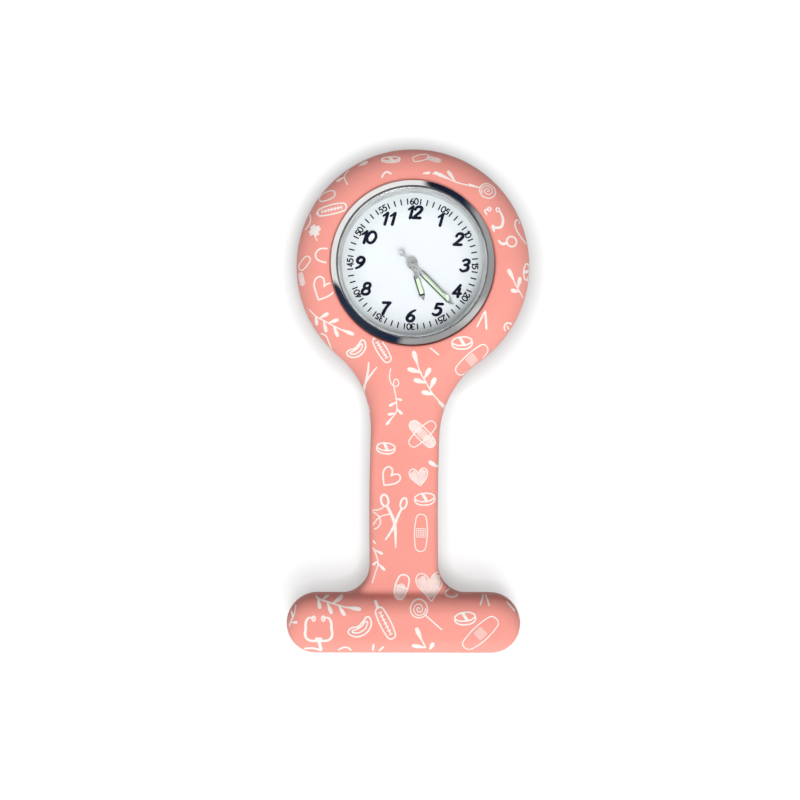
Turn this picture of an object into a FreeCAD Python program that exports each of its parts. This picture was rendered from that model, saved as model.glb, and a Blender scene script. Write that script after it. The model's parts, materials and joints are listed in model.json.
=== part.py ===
"""Nurse's fob watch: a quartz watch head in a soft silicone holder with a brooch pin.

It lies on its back.  +Z points out of the dial, +Y towards twelve o'clock and +X towards
three o'clock.  The origin is the middle of the surface that it lies on.  Millimetres.
"""
import FreeCAD, Part
import math
import os
import re
import Sketcher

# ---------------------------------------------------------------- driving sizes
SIZES = {
    # silicone holder
    "total_long": 85.8,         # top of the head to the bottom of the bar
    "head_wide": 40.0,
    "head_thick": 9.6,
    "head_low_round": 4.0,      # rounding of the head's back rim
    "head_high_round": 5.2,     # rounding of the head's front rim
    "neck_round": 16.5,         # hollow curve from the head into the stem
    "stem_wide": 11.5,
    "stem_thick": 4.6,
    "stem_rise": 3.0,           # the stem's and the bar's back above the table
    "bar_long": 39.6,
    "bar_wide": 10.4,
    "bar_thick": 7.6,
    "bar_edge_round": 3.2,
    "bar_fillet": 5.0,          # hollow curve from the stem into the bar
    "back_wall": 1.2,           # silicone behind the watch head
    "back_hole_wide": 19.0,     # hole that a finger pushes the watch head out through
    "pocket_gap": 0.1,          # silicone to the steel case, at the flange
    "barrel_gap": 0.3,          # silicone to the steel case, below the flange
    "seat_gap": 0.05,
    # case
    "cavity_wide": 22.4,
    "cavity_deep": 5.3,         # lid to the dial's underside
    "barrel_wall": 1.0,
    "ledge_wide": 1.3,          # the dial's seat
    "bezel_wide": 1.1,
    "flange_drop": 0.7,         # flange's underside below the dial's underside
    "bezel_drop": 0.55,
    "bezel_round": 2.0,
    "bezel_proud": 0.2,         # bezel's crest above the glass
    "lid_thick": 0.5,
    "lid_margin": 0.1,
    "lid_rim_tall": 0.8,
    "lid_rim_thick": 0.45,
    "snap_gap": 0.05,
    "gasket_wide": 0.4,
    "gasket_tall": 0.35,
    "glass_thick": 1.2,
    "glass_gasket_thick": 0.15,
    "glass_gasket_tall": 0.9,
    "rehaut_tall": 2.3,
    "rehaut_foot": 0.65,        # rehaut ring's width on the dial
    "rehaut_top": 0.2,          # and under the glass
    # dial
    "dial_thick": 0.4,
    "dial_gap": 0.1,
    "dial_hole": 0.95,
    "foot_reach": 8.3,
    "foot_thin": 0.3,
    "foot_long": 0.9,
    "foot_gap": 0.03,
    # hands
    "hour_angle": 161.2,
    "minute_angle": 133.9,
    "second_angle": 133.0,
    "hour_long": 6.5,
    "minute_long": 9.7,
    "second_long": 9.6,
    "hand_wide": 1.0,
    "hand_thick": 0.15,
    "shank_wide": 0.5,
    "shank_long": 1.9,
    "shoulder_long": 0.4,
    "point_long": 0.9,
    "tip_wide": 0.06,
    "lume_wide": 0.54,
    "lume_margin": 0.35,
    "hour_hand_up": 0.85,       # hands' heights above the dial's underside
    "minute_hand_up": 1.3,
    "second_hand_up": 1.85,
    "tube_proud": 0.1,          # tubes' ends above their hands
    "hub_wide": 1.9,
    "second_wide": 0.22,
    "second_tail": 2.3,
    "second_hub": 0.475,
    "second_dot": 0.5,
    "second_ring": 0.45,
    "second_ring_wall": 0.13,
    "second_ring_out": 8.0,
    # gear train
    "train_reach": 2.88,        # centre arbor to the third and fifth arbors
    "rotor_reach": 2.24,        # fifth arbor to the rotor
    "third_bearing": 20.0,
    "fifth_bearing": 140.0,
    "rotor_bearing": 60.0,      # seen from the fifth arbor
    "motion_module": 0.1,       # hour and minute work under the dial
    "motion_bearing": -30.0,
    "setting_bearing": 9.2,     # setting wheel, seen from the minute wheel
    "pinion_leaves": 8,
    "cannon_leaves": 10,
    "fifth_teeth": 48,
    "fourth_teeth": 40,
    "third_teeth": 60,
    "centre_teeth": 64,
    "minute_teeth": 30,
    "hour_teeth": 32,
    "setting_teeth": 20,
    "wheel_thick": 0.15,
    "pinion_tall": 0.35,
    "pivot_thin": 0.12,
    "pivot_gap": 0.03,
    "arbor_thin": 0.2,
    "minute_tube": 0.45,
    "hour_tube": 0.75,
    "tube_gap": 0.05,
    "magnet_wide": 1.1,
    "magnet_tall": 0.35,
    # depths below the dial's underside, of each piece's lower face
    "battery_low": 4.7,
    "holder_low": 4.45,
    "board_low": 4.35,
    "coil_low": 4.0,
    "bridge_low": 3.95,
    "magnet_low": 3.5,
    "stator_low": 3.45,
    "arbor_low": 3.4,
    "rotor_pinion_low": 2.95,
    "fifth_wheel_low": 2.8,
    "fifth_pinion_low": 2.5,
    "fourth_wheel_low": 2.4,
    "fourth_pinion_low": 2.15,
    "third_wheel_low": 2.05,
    "third_pinion_low": 1.8,
    "centre_wheel_low": 1.7,
    "plate_low": 1.2,
    "plate_floor": 0.65,
    "cannon_low": 0.55,
    "minute_pinion_low": 0.4,
    "hour_wheel_low": 0.22,
    "play": 0.05,               # end play of wheels and posts
    # movement
    "movement_wide": 18.0,
    "plate_rim": 1.4,
    "bridge_thick": 0.4,
    "bridge_margin": 0.05,
    "board_thick": 0.3,
    "board_margin": 0.4,
    "board_gap": 0.1,
    "stator_thick": 0.25,
    "stator_half": 1.0,         # half the width of the stator's bar
    "stator_post_out": 1.8,     # stator posts beyond the third arbor
    "stator_post_thin": 0.4,
    "rotor_hole": 0.7,
    "coil_thick": 1.9,
    "coil_long": 7.8,
    "coil_out": 6.6,            # coil's line above the centre
    "core_long": 10.0,
    "core_wide": 0.8,
    "core_thick": 0.3,
    "battery_wide": 6.8,
    "battery_thick": 2.15,
    "battery_out": 5.0,         # battery's middle below the centre
    "battery_cap": 0.5,
    "battery_step": 0.3,
    "clamp_thick": 0.15,
    "clamp_wide": 1.6,
    "clamp_margin": 0.8,
    "pillar_thin": 0.55,
    "pillar_gap": 0.15,
    "pillar_bearing": 16.0,     # right bridge pillar, seen from the third arbor
    "left_pillar_y": 0.4,
    "clamp_pillar_x": 4.3,
    "clamp_pillar_y": 6.4,
    "screw_thin": 0.25,
    "screw_gap": 0.03,
    "screw_head": 0.5,
    "screw_head_tall": 0.2,
    "screw_long": 1.8,
    "can_wide": 1.2,
    "can_long": 4.2,
    "can_x": 6.0,
    "can_y": 0.8,               # can's near end below the centre
    "can_deep": 3.9,
    "chip_wide": 2.0,
    "chip_tall": 0.6,
    "chip_x": 6.3,
    "chip_y": 2.8,
    "holder_gap": 0.1,
    # crown
    "stem_deep": 2.1,           # setting stem's line below the dial's underside
    "stem_thin": 0.4,
    "stem_start": 5.6,
    "stem_notch": 0.7,
    "tube_outer": 0.75,
    "tube_bore": 0.5,
    "tube_out": 0.15,           # beyond the barrel: tube's end, crown's foot and crown's face
    "crown_foot": 0.2,
    "crown_face": 1.3,
    "crown_wall": 0.3,
    "crown_wide": 2.6,
    "crown_chamfer": 0.15,
    "crown_travel": 0.8,
    "crown_room": 0.4,          # silicone beyond the pulled crown
    "crown_side_gap": 0.2,
    "crown_gasket_start": 0.2,
    "crown_gasket_long": 0.3,
    "running_gap": 0.02,
    "flute_count": 20,
    "flute_thin": 0.13,
    "neck_start": 6.62,
    "neck_long": 0.41,
    "neck_thin": 0.2,
    "yoke_side_gap": 0.1,
    "yoke_throat_gap": 0.05,
    "yoke_left": 1.3,
    "yoke_right": 1.1,
    "yoke_tall": 0.8,
    # brooch, with places along the bar measured back from the plate's ends
    "bar_end_wall": 3.3,
    "plate_wide": 5.6,
    "plate_thick": 0.7,
    "plate_deep": 1.1,          # plate's face inside the bar
    "window_margin": 3.0,
    "window_wide": 4.8,
    "hinge_back": 6.0,
    "catch_back": 8.0,
    "catch_long": 2.7,
    "sleeve_long": 3.7,
    "tab_long": 0.75,
    "needle_back": 4.5,
    "needle_wide": 0.9,
    "needle_up": 1.35,          # needle's line above the table
    "needle_point": 3.9,
    "eye_wide": 2.1,
    "eye_thick": 0.9,
    "ear_gap": 0.08,
    "ear_thick": 0.5,
    "ear_wide": 1.6,
    "rivet_thin": 0.4,
    "rivet_gap": 0.06,
    "rivet_head": 0.65,
    "rivet_head_tall": 0.2,
    "slot_gap": 0.1,
    "needle_gap": 0.15,
    "sleeve_wall": 0.35,
    "sleeve_gap": 0.05,
    "housing_wall": 0.3,
    "tab_reach": 1.7,
    "tab_thick": 0.6,
}

# ------------------------------------------------- places worked out from the sizes
HEAD_Y = "((total_long - head_wide) / 2)"
REACH = "(total_long - head_wide / 2 - bar_wide / 2)"    # head's middle to the bar's middle
BAR_Y = "((bar_wide - total_long) / 2)"
DIAL_Z = "(back_wall + lid_thick + cavity_deep)"         # the dial's underside
SEAT_Z = f"({DIAL_Z} - flange_drop - seat_gap)"
CAVITY = "(cavity_wide / 2)"                             # radii of the case
BARREL = f"({CAVITY} + barrel_wall)"
BORE = f"({CAVITY} + ledge_wide)"
FLANGE = f"({BORE} + bezel_wide)"
GLASS_UP = "(dial_thick + rehaut_tall)"
BEZEL_UP = f"({GLASS_UP} + glass_thick + bezel_proud)"
CROWN_END = f"({BARREL} + crown_face)"
NECK_END = "(neck_start + neck_long)"
SECONDS_TUBE = "(arbor_thin + tube_gap)"                 # bore that runs on a centre arbor or a post
PLATE_Z = "(stem_rise + plate_deep)"                     # the brooch plate's face
PLATE_END = "(bar_long / 2 - bar_end_wall)"
HINGE_X = f"(hinge_back - {PLATE_END})"
CATCH_X = f"({PLATE_END} - catch_back)"
SLEEVE_INNER = "(needle_wide / 2 + needle_gap)"
SLEEVE_OUTER = f"({SLEEVE_INNER} + sleeve_wall)"
HOUSING_INNER = f"({SLEEVE_OUTER} + sleeve_gap)"
HOUSING_OUTER = f"({HOUSING_INNER} + housing_wall)"
SLOT_HALF = "(needle_wide / 2 + slot_gap)"
BATTERY_HOLE = "(battery_wide / 2 + 2 * board_gap)"

FEET = [(f"foot_reach * cos({angle})", f"foot_reach * sin({angle})") for angle in (60, 240)]
PAST = "1"                                               # how far a cut runs past what it cuts
FLAT = 1e-6                                              # a level edge rises by less than this

# Tooth proportions: heights in modules, widths as shares of the tooth's own step.
ADDENDUM = 0.95
DEDENDUM = 1.2
ROOT_SHARE = 0.68
PITCH_SHARE = 0.44
TIP_SHARE = 0.19

doc = FreeCAD.newDocument("fob_watch")
sheet = doc.addObject("Spreadsheet::Sheet", "Sizes")
for row, (word, size) in enumerate(SIZES.items(), start=1):
    sheet.set(f"A{row}", word)
    sheet.set(f"B{row}", str(size))
    sheet.setAlias(f"B{row}", word)
doc.recompute()

nodes = []


# ---------------------------------------------------------------- modelling helpers
def bound(text):
    """An expression of sizes, as objects of the document read it."""
    return re.sub(r"[a-z_]+", lambda word: f"Sizes.{word[0]}" if word[0] in SIZES else word[0], str(text))


def value(text):
    """What an expression of sizes comes to."""
    return float(sheet.evalExpression(str(text)))


def place(thing, x="0", y="0", z="0", turn=None):
    """Bind a sub-part's Placement: its place, and its turn about +Z in degrees."""
    for letter, text in zip("xyz", (x, y, z)):
        thing.setExpression(f"Placement.Base.{letter}", bound(text))
    if turn is not None:
        thing.setExpression("Placement.Rotation.Angle", bound(turn))


def new_body(label, x="0", y="0", z="0", turn=None):
    body = doc.addObject("PartDesign::Body", label)
    body.Label = label
    place(body, x, y, z, turn)
    nodes.append(body)
    return body


def watch_body(label, turn=None):
    """A body whose origin is on the hands' axis, at the dial's underside."""
    return new_body(label, y=HEAD_Y, z=DIAL_Z, turn=turn)


def new_sketch(body, plane, lift):
    """A sketch on one of the body's own planes, lifted along that plane's normal."""
    sketch = body.newObject("Sketcher::SketchObject", body.Label + "_sketch")
    support = [item for item in body.Origin.OriginFeatures if item.Role == plane + "_Plane"]
    sketch.AttachmentSupport = [(support[0], "")]
    sketch.MapMode = "FlatFace"
    sketch.setExpression("AttachmentOffset.Base.z", bound(lift))
    return sketch


def bind(sketch, kind, spot, text):
    """Add a dimension that follows an expression."""
    index = sketch.addConstraint(Sketcher.Constraint(kind, *spot, value(text)))
    sketch.setExpression(f"Constraints[{index}]", bound(text))


def arc_edge(start, end, radius):
    """The short arc from start to end; a negative radius turns clockwise."""
    chord = end - start
    side = FreeCAD.Vector(-chord.y, chord.x, 0).normalize()
    rise = math.sqrt(radius ** 2 - (chord.Length / 2) ** 2)
    centre = (start + end) * 0.5 + side * math.copysign(rise, radius)
    first, last = (start, end) if radius > 0 else (end, start)
    angles = [math.atan2(spot.y - centre.y, spot.x - centre.x) for spot in (first, last)]
    circle = Part.Circle(centre, FreeCAD.Vector(0, 0, 1), abs(radius))
    return Part.ArcOfCircle(circle, *angles)


def outline(body, plane, corners, lift="0"):
    """A closed sketch; a corner's third value is the radius of the arc that arrives there."""
    sketch = new_sketch(body, plane, lift)
    spots = [FreeCAD.Vector(value(corner[0]), value(corner[1]), 0) for corner in corners]
    ends = []
    for index, corner in enumerate(corners):
        start, end = spots[index - 1], spots[index]
        curved = len(corner) == 3
        sketch.addGeometry(arc_edge(start, end, value(corner[2])) if curved else Part.LineSegment(start, end))
        ends.append((2, 1) if curved and value(corner[2]) < 0 else (1, 2))
    for index, corner in enumerate(corners):
        following = (index + 1) % len(corners)
        joint = (index, ends[index][1], following, ends[following][0])
        sketch.addConstraint(Sketcher.Constraint("Coincident", *joint))
        bind(sketch, "DistanceX", joint[:2], corner[0])
        bind(sketch, "DistanceY", joint[:2], corner[1])
        if len(corner) == 3:
            bind(sketch, "Radius", joint[:1], f"abs({corner[2]})")
    return sketch


def circles(body, plane, discs, lift="0"):
    """A sketch of circles, each given as x, y and radius."""
    sketch = new_sketch(body, plane, lift)
    for index, (x, y, radius) in enumerate(discs):
        centre = FreeCAD.Vector(value(x), value(y), 0)
        sketch.addGeometry(Part.Circle(centre, FreeCAD.Vector(0, 0, 1), value(radius)))
        bind(sketch, "DistanceX", (index, 3), x)
        bind(sketch, "DistanceY", (index, 3), y)
        bind(sketch, "Radius", (index,), radius)
    return sketch


def rectangle(low_x, high_x, low_y, high_y):
    return [(low_x, low_y), (high_x, low_y), (high_x, high_y), (low_x, high_y)]


def mirrored(corners):
    """A symmetric outline from its right half, given from bottom to top without arcs."""
    return corners + [(f"-({x})", y) for x, y in reversed(corners)]


def pad(body, sketch, length, middle=False):
    feature = body.newObject("PartDesign::Pad", body.Label + "_pad")
    feature.Profile = sketch
    feature.SideType = "Symmetric" if middle else "One side"
    feature.setExpression("Length", bound(length))
    return feature


def pocket(body, sketch, length, middle=False):
    """Cut below the sketch, or both ways by half the length."""
    feature = body.newObject("PartDesign::Pocket", body.Label + "_pocket")
    feature.Profile = sketch
    feature.SideType = "Symmetric" if middle else "One side"
    feature.setExpression("Length", bound(length))
    return feature


def revolve(body, sketch, axis="V_Axis", cut=False):
    kind = "Groove" if cut else "Revolution"
    feature = body.newObject("PartDesign::" + kind, body.Label + "_" + kind.lower())
    feature.Profile = sketch
    feature.ReferenceAxis = (sketch, [axis])
    feature.Angle = 360
    return feature


def turned(label, corners, **where):
    """A body turned about its own Z axis from an outline of radius and height."""
    body = new_body(label, **where)
    revolve(body, outline(body, "XZ", corners))
    return body


def turned_watch(label, corners):
    return turned(label, corners, y=HEAD_Y, z=DIAL_Z)


def shape_node(label, shape):
    """A sub-part whose shape is made directly, in the watch head's own place."""
    feature = doc.addObject("Part::Feature", label)
    feature.Label = label
    feature.Shape = shape
    feature.Placement = FreeCAD.Placement(FreeCAD.Vector(0, value(HEAD_Y), value(DIAL_Z)), FreeCAD.Rotation())
    nodes.append(feature)
    return feature


def cylinder(radius, low, high, x=0.0, y=0.0):
    """A round bar of Part's own, upright between two heights."""
    return Part.makeCylinder(radius, high - low, FreeCAD.Vector(x, y, low))


# ---------------------------------------------------------------- silicone holder
def make_holder():
    """Head, neck, stem and bar in one moulding, open for the watch head and the brooch."""
    body = new_body("silicone_holder", y=HEAD_Y)
    bar_middle = f"(-{REACH})"
    bar_end = "(bar_wide / 2)"
    bar_flat = f"(bar_long / 2 - {bar_end})"
    bar = pad(body, outline(body, "XY", [
        (bar_flat, f"{bar_middle} - {bar_end}"),
        (f"{bar_flat} + {bar_end}", bar_middle, bar_end),
        (bar_flat, f"{bar_middle} + {bar_end}", bar_end),
        (f"-{bar_flat}", f"{bar_middle} + {bar_end}"),
        (f"-{bar_flat} - {bar_end}", bar_middle, bar_end),
        (f"-{bar_flat}", f"{bar_middle} - {bar_end}", bar_end),
    ], "stem_rise"), "bar_thick")
    doc.recompute()
    rims = [f"Edge{index}" for index, edge in enumerate(bar.Shape.Edges, start=1)
            if edge.BoundBox.ZLength < FLAT]
    rounding = body.newObject("PartDesign::Fillet", "bar_rounding")
    rounding.Base = (bar, rims)
    rounding.setExpression("Radius", bound("bar_edge_round"))

    neck_x = "(stem_wide / 2 + neck_round)"
    neck_reach = "(head_wide / 2 + neck_round)"
    neck_y = f"sqrt({neck_reach} ^ 2 - {neck_x} ^ 2)"
    shoulder = (f"{neck_x} * head_wide / 2 / {neck_reach}", f"-{neck_y} * head_wide / 2 / {neck_reach}")
    half = "(stem_wide / 2)"
    foot = f"({half} + bar_fillet)"
    foot_top = f"({bar_middle} + bar_wide / 2)"
    pad(body, outline(body, "XY", [
        (f"-({shoulder[0]})", shoulder[1]),
        (f"-{half}", f"-{neck_y}", "-neck_round"),
        (f"-{half}", f"{foot_top} + bar_fillet"),
        (f"-{foot}", foot_top, "-bar_fillet"),
        (f"-{foot}", bar_middle),
        (foot, bar_middle),
        (foot, foot_top),
        (half, f"{foot_top} + bar_fillet", "-bar_fillet"),
        (half, f"-{neck_y}"),
        (*shoulder, "-neck_round"),
    ], "stem_rise"), "stem_thick")

    head = "(head_wide / 2)"
    revolve(body, outline(body, "XZ", [
        ("0", "0"),
        (f"{head} - head_low_round", "0"),
        (head, "head_low_round", "head_low_round"),
        (head, "head_thick - head_high_round"),
        (f"{head} - head_high_round", "head_thick", "head_high_round"),
        ("0", "head_thick"),
    ]))
    barrel = f"({BARREL} + barrel_gap)"
    flange = f"({FLANGE} + pocket_gap)"
    revolve(body, outline(body, "XZ", [
        ("0", f"-{PAST}"),
        ("back_hole_wide / 2", f"-{PAST}"),
        ("back_hole_wide / 2", "back_wall"),
        (barrel, "back_wall"),
        (barrel, SEAT_Z),
        (flange, SEAT_Z),
        (flange, f"head_thick + {PAST}"),
        ("0", f"head_thick + {PAST}"),
    ]), cut=True)
    half_room = "(crown_wide / 2 + crown_side_gap)"
    room_end = f"{CROWN_END} + crown_travel + crown_room"
    crown_low = f"({DIAL_Z} - stem_deep - {half_room})"
    room = rectangle(BARREL, room_end, f"-{half_room}", half_room)
    pocket(body, outline(body, "XY", room, SEAT_Z), f"{SEAT_Z} - {crown_low}")
    seat = rectangle(f"-{PLATE_END}", PLATE_END, f"{bar_middle} - plate_wide / 2", f"{bar_middle} + plate_wide / 2")
    pocket(body, outline(body, "XY", seat, f"{PLATE_Z} + plate_thick"), "plate_thick")
    window_end = f"({PLATE_END} - window_margin)"
    window = rectangle(f"-{window_end}", window_end,
                       f"{bar_middle} - window_wide / 2", f"{bar_middle} + window_wide / 2")
    pocket(body, outline(body, "XY", window, PLATE_Z), f"plate_deep + {PAST}")


# ---------------------------------------------------------------- brooch
def make_brooch_plate():
    """Flat steel strip with two ears for the needle's hinge."""
    body = new_body("brooch_plate", y=BAR_Y, z=PLATE_Z)
    pad(body, outline(body, "XY", rectangle(
        f"-{PLATE_END}", PLATE_END, "-plate_wide / 2", "plate_wide / 2")), "plate_thick")
    hinge_z = f"(needle_up - {PLATE_Z})"
    inner = "(eye_thick / 2 + ear_gap)"
    half = "(ear_wide / 2)"
    pad(body, outline(body, "XZ", [
        (f"{HINGE_X} - {half}", "plate_thick / 2"),
        (f"{HINGE_X} - {half}", hinge_z),
        (HINGE_X, f"{hinge_z} - {half}", half),
        (f"{HINGE_X} + {half}", hinge_z, half),
        (f"{HINGE_X} + {half}", "plate_thick / 2"),
    ]), f"2 * ({inner} + ear_thick)", middle=True)
    between = rectangle(f"{HINGE_X} - ear_wide", f"{HINGE_X} + ear_wide", f"{hinge_z} - ear_wide", "0")
    pocket(body, outline(body, "XZ", between), f"2 * {inner}", middle=True)
    pocket(body, circles(body, "XZ", [(HINGE_X, hinge_z, "rivet_thin")]), "plate_wide", middle=True)


def make_hinge_rivet():
    """Riveted pin through both ears, with a flat head on each."""
    body = new_body("hinge_rivet", x=HINGE_X, y=BAR_Y, z="needle_up")
    ears = "(eye_thick / 2 + ear_gap + ear_thick)"
    pad(body, circles(body, "XZ", [("0", "0", "rivet_thin")]), f"2 * {ears}", middle=True)
    for side in ("", "-"):
        middle = f"{side}({ears} + rivet_head_tall / 2)"
        pad(body, circles(body, "XZ", [("0", "0", "rivet_head")], middle), "rivet_head_tall", middle=True)


def make_needle():
    """Straight pin with an eye, drawn to a long point."""
    body = new_body("brooch_needle", x=HINGE_X, y=BAR_Y, z="needle_up")
    half = "(needle_wide / 2)"
    tip = f"({PLATE_END} - needle_back - {HINGE_X})"
    hole = "(rivet_thin + rivet_gap)"
    inside_eye = f"(({hole} + eye_wide / 2) / 2)"
    revolve(body, outline(body, "XZ", [
        (inside_eye, "0"),
        (tip, "0"),
        (f"{tip} - needle_point", half),
        (inside_eye, half),
    ]), axis="H_Axis")
    pad(body, circles(body, "XZ", [("0", "0", "eye_wide / 2")]), "eye_thick", middle=True)
    pocket(body, circles(body, "XZ", [("0", "0", hole)]), f"eye_thick + {PAST}", middle=True)


def split_tube(label, inner, outer, length, extra, low, tall):
    """Tube along X about the needle, with a block of its own, open below by the needle's slot."""
    body = new_body(label, x=CATCH_X, y=BAR_Y, z="needle_up")
    revolve(body, outline(body, "XZ", rectangle("0", length, "0", outer)), axis="H_Axis")
    pad(body, outline(body, "XY", extra, low), tall)
    bore = rectangle(f"-{PAST}", f"{length} + {PAST}", "0", inner)
    revolve(body, outline(body, "XZ", bore), axis="H_Axis", cut=True)
    slot = rectangle(f"-{PAST}", f"{length} + {PAST}", f"-{SLOT_HALF}", SLOT_HALF)
    pocket(body, outline(body, "XY", slot), f"{outer} + {PAST}")


def make_catch():
    """Fixed split housing on the plate, and the split sleeve with a tab that turns in it."""
    stand_low = f"(({HOUSING_INNER} + {HOUSING_OUTER}) / 2)"
    split_tube("catch_housing", HOUSING_INNER, HOUSING_OUTER, "catch_long",
               rectangle("0", "catch_long", f"-{SLOT_HALF}", SLOT_HALF),
               stand_low, f"{PLATE_Z} - needle_up - {stand_low}")
    inside_wall = f"(({SLEEVE_INNER} + {SLEEVE_OUTER}) / 2)"
    split_tube("catch_sleeve", SLEEVE_INNER, SLEEVE_OUTER, "sleeve_long",
               rectangle("sleeve_long - tab_long", "sleeve_long", inside_wall, "tab_reach"),
               "-tab_thick / 2", "tab_thick")


# ---------------------------------------------------------------- case
def make_case():
    """Steel case with its bezel, the snap-on back, the glass, two gaskets and the rehaut."""
    groove = f"({CAVITY} + gasket_wide)"
    body = turned_watch("watch_case", [
        (groove, "-cavity_deep"),
        (BARREL, "-cavity_deep"),
        (BARREL, "-flange_drop"),
        (FLANGE, "-flange_drop"),
        (FLANGE, f"{BEZEL_UP} - bezel_drop"),
        (BORE, BEZEL_UP, "bezel_round"),
        (BORE, "0"),
        (CAVITY, "0"),
        (CAVITY, "-cavity_deep + gasket_wide"),
        (groove, "-cavity_deep + gasket_wide"),
    ])
    hole = pocket(body, circles(body, "YZ", [("0", "-stem_deep", "tube_outer")]), f"2 * {BARREL}")
    hole.Reversed = True
    lid = f"({BARREL} - lid_margin)"
    rim = f"({CAVITY} - snap_gap)"
    turned_watch("case_back", [
        ("0", "-cavity_deep - lid_thick"),
        (lid, "-cavity_deep - lid_thick"),
        (lid, "-cavity_deep"),
        (rim, "-cavity_deep"),
        (rim, "-cavity_deep + lid_rim_tall"),
        (f"{rim} - lid_rim_thick", "-cavity_deep + lid_rim_tall"),
        (f"{rim} - lid_rim_thick", "-cavity_deep"),
        ("0", "-cavity_deep"),
    ])
    turned_watch("case_back_gasket", rectangle(
        CAVITY, f"{groove} - snap_gap", "-cavity_deep", "-cavity_deep + gasket_tall"))
    glass = f"({BORE} - glass_gasket_thick)"
    turned_watch("crystal", rectangle("0", glass, GLASS_UP, f"{GLASS_UP} + glass_thick"))
    turned_watch("crystal_gasket", rectangle(glass, BORE, GLASS_UP, f"{GLASS_UP} + glass_gasket_tall"))
    turned_watch("rehaut_ring", [
        (f"{BORE} - rehaut_foot", "dial_thick"),
        (BORE, "dial_thick"),
        (BORE, GLASS_UP),
        (f"{BORE} - rehaut_top", GLASS_UP),
    ])


def make_dial():
    """White disc with two feet that plug into the movement."""
    body = watch_body("dial")
    rim = f"({BORE} - dial_gap)"
    pad(body, circles(body, "XY", [("0", "0", rim), ("0", "0", "dial_hole")]), "dial_thick")
    pad(body, circles(body, "XY", [(x, y, "foot_thin") for x, y in FEET], "-foot_long"), "foot_long")


# ---------------------------------------------------------------- gear train
def polar(reach, bearing, start=(0.0, 0.0)):
    """A point at a distance and a bearing (degrees from +X) from another."""
    angle = math.radians(bearing)
    return (start[0] + reach * math.cos(angle), start[1] + reach * math.sin(angle))


def train_places():
    """Arbors' places in the movement, from the centre."""
    third = polar(value("train_reach"), value("third_bearing"))
    fifth = polar(value("train_reach"), value("fifth_bearing"))
    rotor = polar(value("rotor_reach"), value("rotor_bearing"), fifth)
    minute = polar(value("motion_module * (cannon_leaves + minute_teeth) / 2"), value("motion_bearing"))
    setting_reach = value("motion_module * (minute_teeth + setting_teeth) / 2")
    setting = polar(setting_reach, value("setting_bearing"), minute)
    return {"centre": (0.0, 0.0), "third": third, "fifth": fifth, "rotor": rotor,
            "minute": minute, "setting": setting}


def train_modules():
    """Tooth size of each pair in the train, named after the pair's pinion."""
    leaves = value("pinion_leaves")
    reach = value("train_reach")
    return {
        "rotor": 2 * value("rotor_reach") / (leaves + value("fifth_teeth")),
        "fifth": 2 * reach / (leaves + value("fourth_teeth")),
        "fourth": 2 * reach / (leaves + value("third_teeth")),
        "third": 2 * reach / (leaves + value("centre_teeth")),
    }


def pillar_places(spots, modules):
    """Pillars in the movement: two for the bridge, two for the battery's clamp."""
    third_tip = modules["fourth"] * (value("third_teeth") / 2 + ADDENDUM)
    reach = third_tip + value("pillar_gap + pillar_thin")
    right = polar(reach, value("pillar_bearing"), spots["third"])
    clamp_x, clamp_y = value("clamp_pillar_x"), -value("clamp_pillar_y")
    return [(-right[0], value("left_pillar_y")), right, (-clamp_x, clamp_y), (clamp_x, clamp_y)]


def gear(teeth, module, low, tall, middle, tooth_at):
    """Spur gear with flat-flanked teeth, one of them centred on the bearing tooth_at."""
    pitch = teeth * module / 2
    root = pitch - DEDENDUM * module
    tip = pitch + ADDENDUM * module
    step = 2 * math.pi / teeth
    half_root, half_pitch, half_tip = (share * step / 2 for share in (ROOT_SHARE, PITCH_SHARE, TIP_SHARE))
    profile = ((root, -half_root), (pitch, -half_pitch), (tip, -half_tip),
               (tip, half_tip), (pitch, half_pitch), (root, half_root))
    corners = []
    for tooth in range(teeth):
        angle = math.radians(tooth_at) + step * tooth
        for radius, turn in profile:
            x = middle[0] + radius * math.cos(angle + turn)
            y = middle[1] + radius * math.sin(angle + turn)
            corners.append(FreeCAD.Vector(x, y, low))
    wire = Part.makePolygon(corners + corners[:1])
    return Part.Face(wire).extrude(FreeCAD.Vector(0, 0, tall))


def gap_at(teeth, bearing):
    """The bearing of a tooth beside the gap that faces a given bearing."""
    return bearing + 180.0 / teeth


def joined(first, *others):
    return first.multiFuse(list(others)).removeSplitter()


def arbor_with(spot, shoulder_top, *wheels):
    """Wheels on an arbor whose thin pivots reach into the bridge and the main plate."""
    pivot_end = -value("(plate_low + plate_floor) / 2")
    return joined(
        cylinder(value("pivot_thin"), -value("bridge_low"), pivot_end, *spot),
        cylinder(value("arbor_thin"), -value("arbor_low"), shoulder_top, *spot),
        *wheels)


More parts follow.
